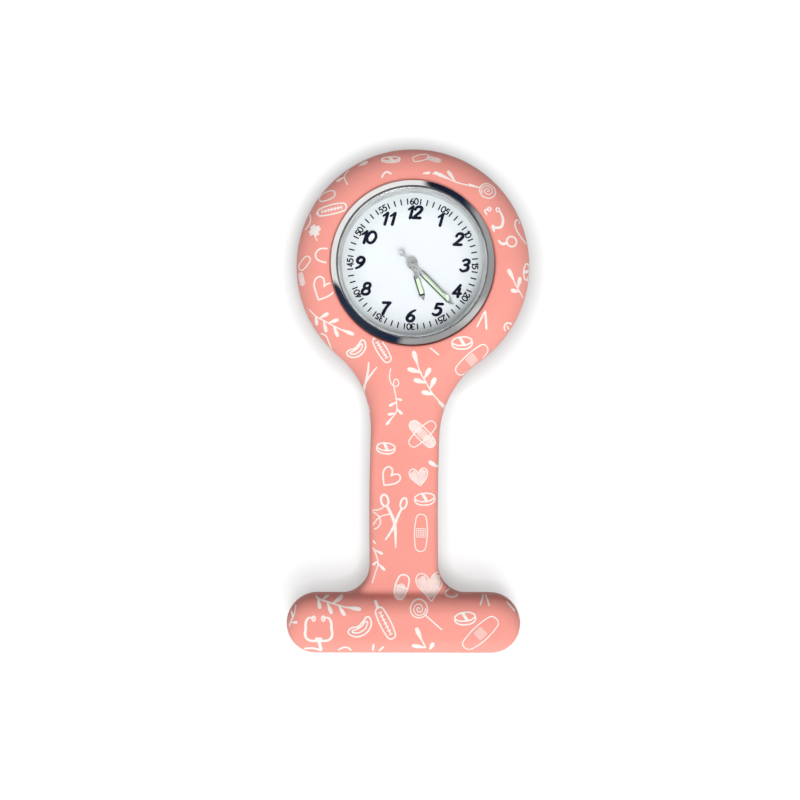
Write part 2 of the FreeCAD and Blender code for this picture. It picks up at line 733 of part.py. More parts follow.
def make_train(spots, modules):
    """Rotor, fifth, fourth (seconds), third and centre wheels, all in mesh."""
    leaves = int(value("pinion_leaves"))
    thick, pinion = value("wheel_thick"), value("pinion_tall")
    play = value("play")
    rotor_bearing = value("rotor_bearing")
    third_bearing, fifth_bearing = value("third_bearing"), value("fifth_bearing")
    teeth = {word: int(value(f"{word}_teeth")) for word in ("fifth", "fourth", "third", "centre")}

    spot = spots["rotor"]
    magnet_low = -value("magnet_low")
    magnet_top = magnet_low + value("magnet_tall")
    shape_node("rotor_magnet", cylinder(value("magnet_wide / 2"), magnet_low, magnet_top, *spot).cut(
        cylinder(value("arbor_thin"), magnet_low, magnet_top, *spot)))
    low = -value("rotor_pinion_low")
    pivots = cylinder(value("pivot_thin"), -value("bridge_low"), -value("(plate_low + plate_floor) / 2"), *spot)
    shape_node("rotor_pinion", joined(
        pivots,
        cylinder(value("arbor_thin"), magnet_low, low + pinion + play, *spot),
        gear(leaves, modules["rotor"], low, pinion, spot, rotor_bearing + 180)))

    spot = spots["fifth"]
    low = -value("fifth_pinion_low")
    shape_node("fifth_wheel", arbor_with(
        spot, low + pinion + play,
        gear(teeth["fifth"], modules["rotor"], -value("fifth_wheel_low"), thick, spot,
             gap_at(teeth["fifth"], rotor_bearing)),
        gear(leaves, modules["fifth"], low, pinion, spot, fifth_bearing + 180)))

    second_top = value("second_hand_up + hand_thick + tube_proud")
    shape_node("seconds_wheel", joined(
        cylinder(value("pivot_thin"), -value("bridge_low"), -value("arbor_low")),
        cylinder(value("arbor_thin"), -value("arbor_low"), second_top),
        gear(teeth["fourth"], modules["fifth"], -value("fourth_wheel_low"), thick, spots["centre"],
             gap_at(teeth["fourth"], fifth_bearing)),
        gear(leaves, modules["fourth"], -value("fourth_pinion_low"), pinion, spots["centre"], third_bearing)))

    spot = spots["third"]
    low = -value("third_pinion_low")
    shape_node("third_wheel", arbor_with(
        spot, low + pinion + play,
        gear(teeth["third"], modules["fourth"], -value("third_wheel_low"), thick, spot,
             gap_at(teeth["third"], third_bearing + 180)),
        gear(leaves, modules["third"], low, pinion, spot, third_bearing + 180)))

    low = -value("centre_wheel_low")
    tube_top = value("minute_hand_up + hand_thick + tube_proud")
    centre = joined(
        cylinder(value("minute_tube"), low, tube_top),
        gear(teeth["centre"], modules["third"], low, thick, spots["centre"],
             gap_at(teeth["centre"], third_bearing)),
        gear(int(value("cannon_leaves")), value("motion_module"), -value("cannon_low"), 2 * thick,
             spots["centre"], value("motion_bearing")))
    shape_node("centre_wheel", centre.cut(cylinder(value(SECONDS_TUBE), low, tube_top)))


def make_motion_work(spots):
    """Minute, hour and setting wheels between the main plate and the dial."""
    module, bearing = value("motion_module"), value("motion_bearing")
    leaves, thick = int(value("pinion_leaves")), value("wheel_thick")
    minute_teeth, hour_teeth = int(value("minute_teeth")), int(value("hour_teeth"))
    low = -value("cannon_low")
    spot = spots["minute"]
    minute_tooth = gap_at(minute_teeth, bearing + 180)
    pinion_low = -value("minute_pinion_low")
    minute = joined(
        gear(minute_teeth, module, low, thick, spot, minute_tooth),
        gear(leaves, module, pinion_low, value("pinion_tall"), spot, bearing + 180))
    shape_node("minute_wheel", minute.cut(cylinder(value(SECONDS_TUBE), low, 0, *spot)))

    hour_low = -value("hour_wheel_low")
    hour_top = value("hour_hand_up + hand_thick + tube_proud")
    hour = joined(
        cylinder(value("hour_tube"), hour_low, hour_top),
        gear(hour_teeth, module, hour_low, thick, spots["centre"], gap_at(hour_teeth, bearing)))
    shape_node("hour_wheel", hour.cut(cylinder(value("minute_tube + tube_gap"), hour_low, hour_top)))

    # The setting wheel's tooth meets the gap of the minute wheel that faces it.
    spot = spots["setting"]
    setting_teeth, setting_bearing = int(value("setting_teeth")), value("setting_bearing")
    minute_step = 360.0 / minute_teeth
    lead = (setting_bearing - minute_tooth) % minute_step - minute_step / 2
    setting_tooth = setting_bearing + 180 + lead * minute_teeth / setting_teeth
    setting = gear(setting_teeth, module, low, thick, spot, setting_tooth)
    shape_node("setting_wheel", setting.cut(cylinder(value(SECONDS_TUBE), low, low + thick, *spot)))


# ---------------------------------------------------------------- movement
def make_main_plate(spots, pillars, stator_posts):
    """Brass-coloured plate under the dial: it carries the wheels, posts and pillars."""
    body = watch_body("main_plate")
    half = "(movement_wide / 2)"
    pad(body, circles(body, "XY", [("0", "0", half)], "-plate_low"), "plate_low")
    pocket(body, circles(body, "XY", [("0", "0", f"{half} - plate_rim")]), "plate_floor")
    posts = [(*spots[word], "arbor_thin") for word in ("minute", "setting")]
    pad(body, circles(body, "XY", posts, "-plate_low"), "plate_low - play")
    bridge_pillars = [(x, y, "pillar_thin") for x, y in pillars[:2]]
    pad(body, circles(body, "XY", bridge_pillars, "-bridge_low + bridge_thick"),
        "bridge_low - bridge_thick - plate_low")
    clamp_pillars = [(x, y, "pillar_thin") for x, y in pillars[2:]]
    pad(body, circles(body, "XY", clamp_pillars, "-battery_low - play"), "battery_low + play - plate_low")
    iron_posts = [(x, y, "stator_post_thin") for x, y in stator_posts]
    pad(body, circles(body, "XY", iron_posts, "-stator_low + stator_thick"),
        "stator_low - stator_thick - plate_low")
    holes = [("0", "0", "minute_tube + tube_gap")]
    holes += [(*spots[word], "pivot_thin + pivot_gap") for word in ("third", "fifth", "rotor")]
    holes += [(x, y, "foot_thin + foot_gap") for x, y in FEET]
    pocket(body, circles(body, "XY", holes), f"plate_low + {PAST}")
    screws = [(x, y, "screw_thin + screw_gap") for x, y in pillars]
    pocket(body, circles(body, "XY", screws, "-plate_low - pillar_thin"), "battery_low")


def make_bridge(spots, pillars):
    """Plate that holds the arbors' lower pivots."""
    body = watch_body("train_bridge")
    side = f"({pillars[1][0]} + pillar_thin + bridge_margin)"
    back = "(-pillar_thin - bridge_margin)"
    front = "(coil_out - coil_thick / 2 - pillar_thin)"
    pad(body, outline(body, "XY", rectangle(f"-{side}", side, back, front), "-bridge_low"), "bridge_thick")
    holes = [(*spots[word], "pivot_thin + pivot_gap") for word in ("centre", "third", "fifth", "rotor")]
    holes += [(x, y, "screw_thin + screw_gap") for x, y in pillars[:2]]
    pocket(body, circles(body, "XY", holes, "-bridge_low + bridge_thick"), f"bridge_thick + {PAST}")


def make_circuit(pillars):
    """Board with its chip and the quartz can."""
    board = watch_body("circuit_board")
    pad(board, circles(board, "XY", [("0", "0", "movement_wide / 2 - board_margin")], "-board_low"),
        "board_thick")
    top, deep = "-board_low + board_thick", f"board_thick + {PAST}"
    pocket(board, circles(board, "XY", [("0", "-battery_out", BATTERY_HOLE)], top), deep)
    mouth = rectangle("-battery_wide / 3", "battery_wide / 3", "-movement_wide / 2", "-battery_out")
    coil_half = "(coil_long / 2 + board_gap)"
    coil_room = rectangle(f"-{coil_half}", coil_half, "coil_out - coil_thick / 2 - board_gap", "movement_wide / 2")
    can_half = "(can_wide / 2 + board_gap)"
    can_room = rectangle(f"can_x - {can_half}", f"can_x + {can_half}",
                         "-can_y - can_long - board_gap", "-can_y + board_gap")
    for room in (mouth, coil_room, can_room):
        pocket(board, outline(board, "XY", room, top), deep)
    holes = [(x, y, "screw_thin + screw_gap") for x, y in pillars[:2]]
    holes += [(x, y, "pillar_thin + board_gap") for x, y in pillars[2:]]
    pocket(board, circles(board, "XY", holes, top), deep)

    chip = watch_body("control_chip")
    pad(chip, outline(chip, "XY", rectangle(
        "-chip_x - chip_wide / 2", "-chip_x + chip_wide / 2",
        "-chip_y - chip_wide / 2", "-chip_y + chip_wide / 2"), top), "chip_tall")
    can = new_body("quartz_can", x="can_x", y=f"{HEAD_Y} - can_y", z=f"{DIAL_Z} - can_deep")
    revolve(can, outline(can, "XY", rectangle("0", "can_wide / 2", "-can_long", "0")))


def make_motor(rotor):
    """Coil, its core and the stator around the rotor."""
    coil = new_body("coil_winding", y=f"{HEAD_Y} + coil_out", z=f"{DIAL_Z} - coil_low + coil_thick / 2")
    revolve(coil, outline(coil, "XZ", rectangle("-coil_long / 2", "coil_long / 2", "0", "coil_thick / 2")),
            axis="H_Axis")
    core_low = "(-stator_low + stator_thick + coil_low - coil_thick / 2)"
    core_room = rectangle("-core_long / 2", "core_long / 2", core_low, f"{core_low} + core_thick")
    pocket(coil, outline(coil, "XZ", core_room), "core_wide", middle=True)
    core = watch_body("coil_core")
    pad(core, outline(core, "XY", rectangle(
        "-core_long / 2", "core_long / 2", "coil_out - core_wide / 2", "coil_out + core_wide / 2"),
        "-stator_low + stator_thick"), "core_thick")

    end, arm = "(core_long / 2)", "(coil_long / 2 + play)"
    low, high = f"({rotor[1]} - stator_half)", f"({rotor[1]} + stator_half)"
    arm_top = "(coil_out + core_wide / 2)"
    stator = watch_body("stator")
    pad(stator, outline(stator, "XY", [
        (f"-{end}", low), (end, low), (end, arm_top), (arm, arm_top),
        (arm, high), (f"-{arm}", high), (f"-{arm}", arm_top), (f"-{end}", arm_top),
    ], "-stator_low"), "stator_thick")
    pocket(stator, circles(stator, "XY", [(*rotor, "rotor_hole")], "-stator_low + stator_thick"),
           f"stator_thick + {PAST}")


def make_power(pillars):
    """Button cell, its clamp and the movement's screws."""
    rim, cap = "(battery_wide / 2)", "(battery_wide / 2 - battery_cap)"
    shoulder = "battery_thick - battery_step"
    turned("battery", [
        ("0", "0"), (rim, "0"), (rim, shoulder), (cap, shoulder), (cap, "battery_thick"), ("0", "battery_thick"),
    ], y=f"{HEAD_Y} - battery_out", z=f"{DIAL_Z} - battery_low")
    clamp = watch_body("battery_clamp")
    top = "(-battery_low - play)"
    end = "(clamp_pillar_x + clamp_margin)"
    strip = rectangle(f"-{end}", end, "-clamp_pillar_y - clamp_wide / 2", "-clamp_pillar_y + clamp_wide / 2")
    pad(clamp, outline(clamp, "XY", strip, f"{top} - clamp_thick"), "clamp_thick")
    holes = [(x, y, "screw_thin + screw_gap") for x, y in pillars[2:]]
    pocket(clamp, circles(clamp, "XY", holes, top), f"clamp_thick + {PAST}")
    seats = [-value("board_low")] * 2 + [value(f"{top} - clamp_thick")] * 2
    screws = []
    for (x, y), seat in zip(pillars, seats):
        head = cylinder(value("screw_head"), seat - value("screw_head_tall"), seat, x, y)
        shank = cylinder(value("screw_thin"), seat, seat + value("screw_long"), x, y)
        screws.append(head.fuse(shank))
    shape_node("movement_screws", Part.makeCompound(screws))


def make_movement_holder():
    """Plastic ring that centres the movement in the case, notched for the setting stem."""
    inner = "(movement_wide / 2 + holder_gap)"
    body = turned_watch("movement_holder", rectangle(inner, f"{CAVITY} - holder_gap", "-holder_low", "0"))
    notch = rectangle("movement_wide / 2", CAVITY, "-stem_notch", "stem_notch")
    pocket(body, outline(body, "XY", notch, "-stem_deep + stem_notch"), "holder_low")


# ---------------------------------------------------------------- crown
def make_crown():
    """Crown, its stem with a gasket, the yoke on the stem's neck, and the tube in the case."""
    line = {"y": HEAD_Y, "z": f"{DIAL_Z} - stem_deep"}
    tube = new_body("crown_tube", **line)
    revolve(tube, outline(tube, "XZ", rectangle(CAVITY, f"{BARREL} + tube_out", "tube_bore", "tube_outer")),
            axis="H_Axis")
    stem = new_body("setting_stem", **line)
    bore_end = f"({CROWN_END} - crown_wall)"
    revolve(stem, outline(stem, "XZ", [
        ("stem_start", "0"), (bore_end, "0"), (bore_end, "stem_thin"), (NECK_END, "stem_thin"),
        (NECK_END, "neck_thin"), ("neck_start", "neck_thin"), ("neck_start", "stem_thin"),
        ("stem_start", "stem_thin"),
    ]), axis="H_Axis")
    gasket = new_body("crown_gasket", **line)
    gasket_start = f"({CAVITY} + crown_gasket_start)"
    revolve(gasket, outline(gasket, "XZ", rectangle(
        gasket_start, f"{gasket_start} + crown_gasket_long", "stem_thin", "tube_bore - running_gap")),
        axis="H_Axis")
    crown = new_body("crown", **line)
    foot = f"({BARREL} + crown_foot)"
    rim = "(crown_wide / 2)"
    revolve(crown, outline(crown, "XZ", [
        (foot, "stem_thin"), (bore_end, "stem_thin"), (bore_end, "0"), (CROWN_END, "0"),
        (CROWN_END, f"{rim} - crown_chamfer"), (f"{CROWN_END} - crown_chamfer", rim),
        (f"{foot} + crown_chamfer", rim), (foot, f"{rim} - crown_chamfer"),
    ]), axis="H_Axis")
    flute = pocket(crown, circles(crown, "YZ", [("0", f"{rim} + flute_thin / 2", "flute_thin")]),
                   f"{CROWN_END} + {PAST}")
    flute.Reversed = True
    flutes = crown.newObject("PartDesign::PolarPattern", "crown_flutes")
    flutes.Originals = [flute]
    axis = [item for item in crown.Origin.OriginFeatures if item.Role == "X_Axis"][0]
    flutes.Axis = (axis, [""])
    flutes.Angle = 360
    flutes.setExpression("Occurrences", bound("flute_count"))
    crown.Tip = flutes

    yoke = watch_body("setting_yoke")
    top, foot = "(-plate_low - play)", "(-stem_deep - yoke_tall)"
    pad(yoke, outline(yoke, "YZ", rectangle("-yoke_left", "yoke_right", foot, top),
                      "neck_start + yoke_side_gap"), "neck_long - 2 * yoke_side_gap")
    throat = "(neck_thin + yoke_throat_gap)"
    slot = pocket(yoke, outline(yoke, "YZ", [
        (throat, "-stem_deep", throat), (throat, f"{top} + {PAST}"), (f"-{throat}", f"{top} + {PAST}"),
        (f"-{throat}", "-stem_deep"), ("0", f"-stem_deep - {throat}", throat),
    ]), f"{NECK_END} + {PAST}")
    slot.Reversed = True


# ---------------------------------------------------------------- hands
def make_hand(name, turn, length, up, hole):
    """Silver hand with a shouldered blade, pointed, and a slot that holds its luminous fill."""
    hand = watch_body(name + "_hand", turn=f"-{turn}")
    half = "(hand_wide / 2)"
    blade = [
        ("shank_wide / 2", "0"), ("shank_wide / 2", "shank_long"), (half, "shank_long + shoulder_long"),
        (half, f"{length} - point_long"), ("tip_wide / 2", length),
    ]
    pad(hand, outline(hand, "XY", mirrored(blade), up), "hand_thick")
    pad(hand, circles(hand, "XY", [("0", "0", "hub_wide / 2")], up), "hand_thick")
    over = f"{up} + {PAST}"
    pocket(hand, circles(hand, "XY", [("0", "0", hole)], over), f"2 * {PAST}")
    slot_low = "(shank_long + shoulder_long + lume_margin)"
    slot_high = f"({length} - point_long - lume_margin)"
    slot = rectangle("-lume_wide / 2", "lume_wide / 2", slot_low, slot_high)
    pocket(hand, outline(hand, "XY", slot, over), f"2 * {PAST}")
    lume = watch_body(name + "_hand_lume", turn=f"-{turn}")
    pad(lume, outline(lume, "XY", slot, up), "hand_thick")


def make_second_hand():
    """Thin hand with a round counterweight behind and a luminous ring near its tip."""
    hand = watch_body("second_hand", turn="-second_angle")
    up = "second_hand_up"
    half = "(second_wide / 2)"
    needle = mirrored([(half, "-second_tail"), (half, "second_long - point_long"), ("tip_wide / 2", "second_long")])
    pad(hand, outline(hand, "XY", needle, up), "hand_thick")
    for y, radius in (("-second_tail", "second_dot"), ("0", "second_hub"), ("second_ring_out", "second_ring")):
        pad(hand, circles(hand, "XY", [("0", y, radius)], up), "hand_thick")
    fill = "(second_ring - second_ring_wall)"
    pocket(hand, circles(hand, "XY", [("0", "0", "arbor_thin"), ("0", "second_ring_out", fill)],
                         f"{up} + {PAST}"), f"2 * {PAST}")
    lume = watch_body("second_hand_lume", turn="-second_angle")
    pad(lume, circles(lume, "XY", [("0", "second_ring_out", fill)], up), "hand_thick")


# ---------------------------------------------------------------- build and write
def check_document():
    """Stop if any object failed or any sub-part is empty or invalid."""
    for item in doc.Objects:
        if "Invalid" in item.State or "Error" in item.State:
            raise SystemExit(f"{item.Label} did not compute: {item.State}")
    for node in nodes:
        if node.Shape.isNull() or not node.Shape.isValid() or node.Shape.Volume <= 0:
            raise SystemExit(f"{node.Label} has no valid shape")


def write_parts():
    os.makedirs("parts", exist_ok=True)
    for node in nodes:
        node.Shape.exportStep(f"parts/{node.Label}.step")


spots = train_places()
modules = train_modules()
pillars = pillar_places(spots, modules)
post_x = spots["third"][0] + value("stator_post_out")
stator_posts = [(side * post_x, spots["rotor"][1]) for side in (-1, 1)]
make_holder()
make_brooch_plate()
make_hinge_rivet()
make_needle()
make_catch()
make_case()
make_dial()
make_train(spots, modules)
make_motion_work(spots)
make_main_plate(spots, pillars, stator_posts)
make_bridge(spots, pillars)
make_circuit(pillars)
make_motor(spots["rotor"])
make_power(pillars)
make_movement_holder()
make_crown()
make_hand("hour", "hour_angle", "hour_long", "hour_hand_up", "hour_tube")
make_hand("minute", "minute_angle", "minute_long", "minute_hand_up", "minute_tube")
make_second_hand()
doc.recompute()
check_document()
write_parts()
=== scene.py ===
"""Nurse's fob watch: its looks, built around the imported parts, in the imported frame, in metres."""
import json
import math

import bpy
from mathutils import Matrix, Vector
from mathutils.kdtree import KDTree


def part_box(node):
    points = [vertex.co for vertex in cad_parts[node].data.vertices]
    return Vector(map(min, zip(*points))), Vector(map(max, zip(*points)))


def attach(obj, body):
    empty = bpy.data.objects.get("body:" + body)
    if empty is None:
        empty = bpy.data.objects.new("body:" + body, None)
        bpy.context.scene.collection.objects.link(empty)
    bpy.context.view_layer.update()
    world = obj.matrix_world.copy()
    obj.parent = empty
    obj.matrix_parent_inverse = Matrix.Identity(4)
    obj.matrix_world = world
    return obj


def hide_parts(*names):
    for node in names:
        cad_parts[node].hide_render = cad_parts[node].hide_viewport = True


bl_info = {
    "name": "Fob Watch",
    "version": (1, 0, 0),
    "blender": (4, 5, 0),
    "location": "View3D > Sidebar > Fob Watch",
    "description": "Builds a nurse's fob watch in a printed silicone holder, piece by piece",
    "category": "Add Mesh",
}

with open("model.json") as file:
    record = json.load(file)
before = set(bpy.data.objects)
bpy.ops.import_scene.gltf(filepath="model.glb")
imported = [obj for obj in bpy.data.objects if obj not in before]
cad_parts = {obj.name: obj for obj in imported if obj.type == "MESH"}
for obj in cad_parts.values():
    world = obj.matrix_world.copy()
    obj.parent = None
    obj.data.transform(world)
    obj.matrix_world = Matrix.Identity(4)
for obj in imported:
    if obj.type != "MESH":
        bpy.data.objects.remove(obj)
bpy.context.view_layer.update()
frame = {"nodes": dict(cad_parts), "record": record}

MM = 0.001
TURN_STEPS = 160                # facets round a turned piece

HOLDER_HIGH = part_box("silicone_holder")[1]
CASE_LOW, CASE_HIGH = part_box("watch_case")
DIAL_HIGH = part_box("dial")[1]
GLASS_LOW, GLASS_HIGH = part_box("crystal")
BACK_LOW, BACK_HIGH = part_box("case_back")
SEAT_LOW, SEAT_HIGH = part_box("brooch_plate")
HEAD = Vector(((CASE_LOW.x + CASE_HIGH.x) / 2, (CASE_LOW.y + CASE_HIGH.y) / 2, 0))
BAR = Vector((0, (SEAT_LOW.y + SEAT_HIGH.y) / 2, 0))
DIAL_TOP = DIAL_HIGH.z


# ---------------------------------------------------------------- sizes and colours
def length(name, description, default, **limits):
    """A size in metres."""
    return bpy.props.FloatProperty(name=name, description=description, default=default,
                                   unit="LENGTH", **limits)


def tint(name, description, default):
    """A colour in linear shares of red, green and blue."""
    return bpy.props.FloatVectorProperty(name=name, description=description, default=default,
                                         subtype="COLOR", size=3, min=0, max=1)


class FobWatchSizes(bpy.types.PropertyGroup):
    """Sizes of the pieces that are shaped here."""
    head_radius: length("Head radius", "Outside radius of the silicone head", HOLDER_HIGH.x, min=0.015)
    head_height: length("Head height", "Thickness of the silicone head", 9.6 * MM, min=0.005)
    low_round: length("Back rounding", "Rounding of the head's back rim", 3.8 * MM)
    high_round: length("Front rounding", "Rounding of the head's front rim", 5.8 * MM)
    neck_round: length("Neck curve", "Hollow curve from the head into the stem", 16.5 * MM)
    stem_width: length("Stem width", "Width of the stem", 11.7 * MM)
    stem_low: length("Stem back", "Height of the stem's and the bar's back above the table", 3.0 * MM)
    stem_high: length("Stem front", "Height of the stem's front above the table", 7.6 * MM)
    stem_edge: length("Stem edge", "Rounding of the stem's long edges", 1.3 * MM)
    bar_length: length("Bar length", "Length of the cross bar", 39.6 * MM)
    bar_width: length("Bar width", "Width of the cross bar", 9.95 * MM)
    bar_high: length("Bar front", "Height of the bar's front above the table", 10.6 * MM)
    bar_fillet: length("Bar fillet", "Hollow curve from the stem into the bar", 5.0 * MM)
    voxel: length("Rubber grid", "Grid on which the rubber's solids are blended", 0.34 * MM, min=0.0002)
    line_width: length("Printed line", "Width of the printed lines", 0.25 * MM)
    ink_thickness: length(
        "Ink thickness", "Thickness of the print on the rubber and on the dial", 0.02 * MM)
    numeral_height: length("Numeral height", "Height of the hour numerals", 2.0 * MM)
    numeral_radius: length("Numeral circle", "Radius of the hour numerals' middles", 8.65 * MM)
    track_radius: length("Minute track", "Radius of the middle of the minute track", 10.5 * MM)
    track_height: length("Minute marks", "Height of the minute marks and their figures", 0.98 * MM)


class FobWatchColours(bpy.types.PropertyGroup):
    """Colours of the finishes."""
    rubber: tint("Silicone", "Colour of the holder", (0.935, 0.358, 0.305))
    print_white: tint("Print", "Colour of the printed drawings", (0.95, 0.86, 0.82))
    print_pale: tint("Pale print", "Colour of the thinner, filled print", (0.93, 0.72, 0.68))
    steel: tint("Steel", "Colour of the polished steel", (0.80, 0.80, 0.80))
    dial: tint("Dial", "Colour of the dial's enamel", (0.635, 0.66, 0.685))
    ink: tint("Dial print", "Colour of the dial's figures", (0.004, 0.005, 0.018))
    lume: tint("Luminous fill", "Colour of the hands' luminous fill", (0.62, 0.86, 0.54))
    floor: tint("Floor", "Colour of the table top", (0.30, 0.305, 0.305))


# ---------------------------------------------------------------- finishes
def new_finish(name):
    """A material, its node tree and its Principled shader."""
    material = bpy.data.materials.new(name)
    material.use_nodes = True
    tree = material.node_tree
    shader = next(node for node in tree.nodes if node.type == "BSDF_PRINCIPLED")
    return material, tree, shader


def feed(tree, node, inputs):
    """Give each of a node's inputs a value, or the socket that feeds it."""
    for name, value in inputs.items():
        if isinstance(value, bpy.types.NodeSocket):
            tree.links.new(value, node.inputs[name])
        else:
            node.inputs[name].default_value = value


def add(tree, kind, inputs, output=0, **settings):
    """A new shader node with its inputs and settings: gives one of its outputs."""
    node = tree.nodes.new("ShaderNode" + kind)
    for name, value in settings.items():
        setattr(node, name, value)
    feed(tree, node, inputs)
    return node.outputs[output]


def object_pattern(tree, centre=(0, 0, 0)):
    """Coordinates of the piece itself, in metres, counted from a centre."""
    source = add(tree, "TexCoord", {}, "Object")
    away = tuple(-value for value in centre)
    return add(tree, "Mapping", {"Vector": source, "Location": away}, vector_type="POINT")


def noise(tree, vector, scale, detail=3.0, rough=0.55):
    """A cloudy pattern."""
    inputs = {"Vector": vector, "Scale": scale, "Detail": detail, "Roughness": rough}
    return add(tree, "TexNoise", inputs, "Fac")


def ramp_colours(tree, factor, low, high, start=0.35, end=0.65):
    """Two shades of a colour, spread by a pattern."""
    colour = add(tree, "ValToRGB", {"Fac": factor}, "Color")
    ends = colour.node.color_ramp.elements
    ends[0].position, ends[1].position = start, end
    ends[0].color, ends[1].color = (*low, 1), (*high, 1)
    return colour


def spread(tree, factor, low, high):
    """A value between two limits, spread by a pattern."""
    inputs = {"Value": factor, "From Min": 0.3, "From Max": 0.7, "To Min": low, "To Max": high}
    return add(tree, "MapRange", inputs)


def bump(tree, height, distance, strength):
    """A normal that follows a pattern as a relief."""
    return add(tree, "Bump", {"Height": height, "Distance": distance, "Strength": strength})


def shade(colour, factor):
    """A colour made lighter or darker."""
    return tuple(min(1.0, value * factor) for value in colour)


def plain_finish(name, colour, roughness, metallic=0.0, mottle=0.04, grain=900.0, relief=0.004):
    """A moulded, painted or machined finish: slight mottling, uneven gloss and a fine grain."""
    material, tree, shader = new_finish(name)
    vector = object_pattern(tree)
    broad = noise(tree, vector, grain * 0.25)
    fine = noise(tree, vector, grain * 4)
    feed(tree, shader, {
        "Base Color": ramp_colours(tree, broad, shade(colour, 1 - mottle), shade(colour, 1 + mottle)),
        "Roughness": spread(tree, fine, roughness * 0.9, roughness * 1.1),
        "Normal": bump(tree, fine, relief * MM, 0.6),
        "Metallic": metallic})
    return material


def rubber_finish(colour):
    """Satin silicone: light scatters in it, with faint clouding and a very fine moulded grain."""
    material, tree, shader = new_finish("silicone_rubber")
    vector = object_pattern(tree)
    clouds = noise(tree, vector, 90.0, 4.0)
    grain = noise(tree, vector, 5200.0, 2.0)
    feed(tree, shader, {
        "Base Color": ramp_colours(tree, clouds, shade(colour, 0.975), shade(colour, 1.02)),
        "Roughness": spread(tree, grain, 0.50, 0.58),
        "Normal": bump(tree, grain, 0.006 * MM, 0.5),
        "Specular IOR Level": 0.14,
        "Subsurface Weight": 0.2,
        "Subsurface Scale": 0.9 * MM,
        "Subsurface Radius": (1.0, 0.25, 0.15)})
    return material


def brushed_finish(name, colour, roughness, stretch, centre=(0, 0, 0), rings=False):
    """Brushed steel: fine scratches along one axis, or in rings about a centre."""
    material, tree, shader = new_finish(name)
    vector = object_pattern(tree, centre)
    if rings:
        scratches = add(tree, "TexWave", {"Vector": vector, "Scale": 1400.0, "Distortion": 5.0, "Detail": 3.0},
                        "Fac", wave_type="RINGS", rings_direction="Z")
    else:
        scratches = noise(tree, add(tree, "Mapping", {"Vector": vector, "Scale": stretch}), 900.0, 5.0, 0.7)
    feed(tree, shader, {
        "Base Color": ramp_colours(tree, scratches, shade(colour, 0.90), shade(colour, 1.06)),
        "Roughness": spread(tree, scratches, roughness * 0.8, roughness * 1.25),
        "Normal": bump(tree, scratches, 0.004 * MM, 0.35),
        "Metallic": 1.0})
    return material


def polished_finish(name, colour, roughness):
    """Polished metal with faint hairlines and handling marks."""
    material, tree, shader = new_finish(name)
    vector = object_pattern(tree)
    marks = noise(tree, vector, 2600.0, 6.0, 0.7)
    haze = noise(tree, vector, 160.0, 3.0)
    feed(tree, shader, {
        "Base Color": ramp_colours(tree, haze, shade(colour, 0.96), shade(colour, 1.03)),
        "Roughness": spread(tree, marks, roughness * 0.7, roughness * 1.5),
        "Normal": bump(tree, marks, 0.0015 * MM, 0.4),
        "Metallic": 1.0})
    return material


def enamel_finish(colour, centre):
    """White dial enamel with painted shade: its colour darkens towards the rim, where the bezel and the inner ring
    shade the sunk dial.
    """
    material, tree, shader = new_finish("dial_enamel_with_painted_shade")
    vector = object_pattern(tree, centre)
    away = add(tree, "VectorMath", {0: vector}, "Value", operation="LENGTH")
    # Painted shade: from 8 mm out to the rim at 12.4 mm, the enamel's colour falls to about four fifths.
    rim = add(tree, "MapRange", {"Value": away, "From Min": 8.0 * MM, "From Max": 12.4 * MM})
    dark = (colour[0] * 0.78, colour[1] * 0.80, colour[2] * 0.78)
    speck = noise(tree, vector, 3000.0)
    feed(tree, shader, {
        "Base Color": ramp_colours(tree, rim, colour, dark, 0.0, 1.0),
        "Roughness": spread(tree, speck, 0.32, 0.4),
        "Normal": bump(tree, speck, 0.002 * MM, 0.3)})
    return material


def glass_finish():
    """Clear mineral glass with a faint unevenness."""
    material, tree, shader = new_finish("mineral_glass")
    ripple = noise(tree, object_pattern(tree), 60.0, 1.0)
    feed(tree, shader, {
        "Base Color": (0.985, 0.995, 0.995, 1), "Roughness": 0.0, "IOR": 1.5, "Transmission Weight": 1.0,
        "Normal": bump(tree, ripple, 0.001 * MM, 0.2)})
    return material


def wound_finish(name, colour):
    """Enamelled wire wound side by side along X."""
    material, tree, shader = new_finish(name)
    turns = add(tree, "TexWave", {"Vector": object_pattern(tree), "Scale": 2600.0, "Distortion": 0.4},
                "Fac", bands_direction="X")
    feed(tree, shader, {
        "Base Color": ramp_colours(tree, turns, shade(colour, 0.6), shade(colour, 1.1), 0.1, 0.9),
        "Roughness": 0.35, "Metallic": 0.8, "Normal": bump(tree, turns, 0.03 * MM, 0.8)})
    return material


finishes = {}


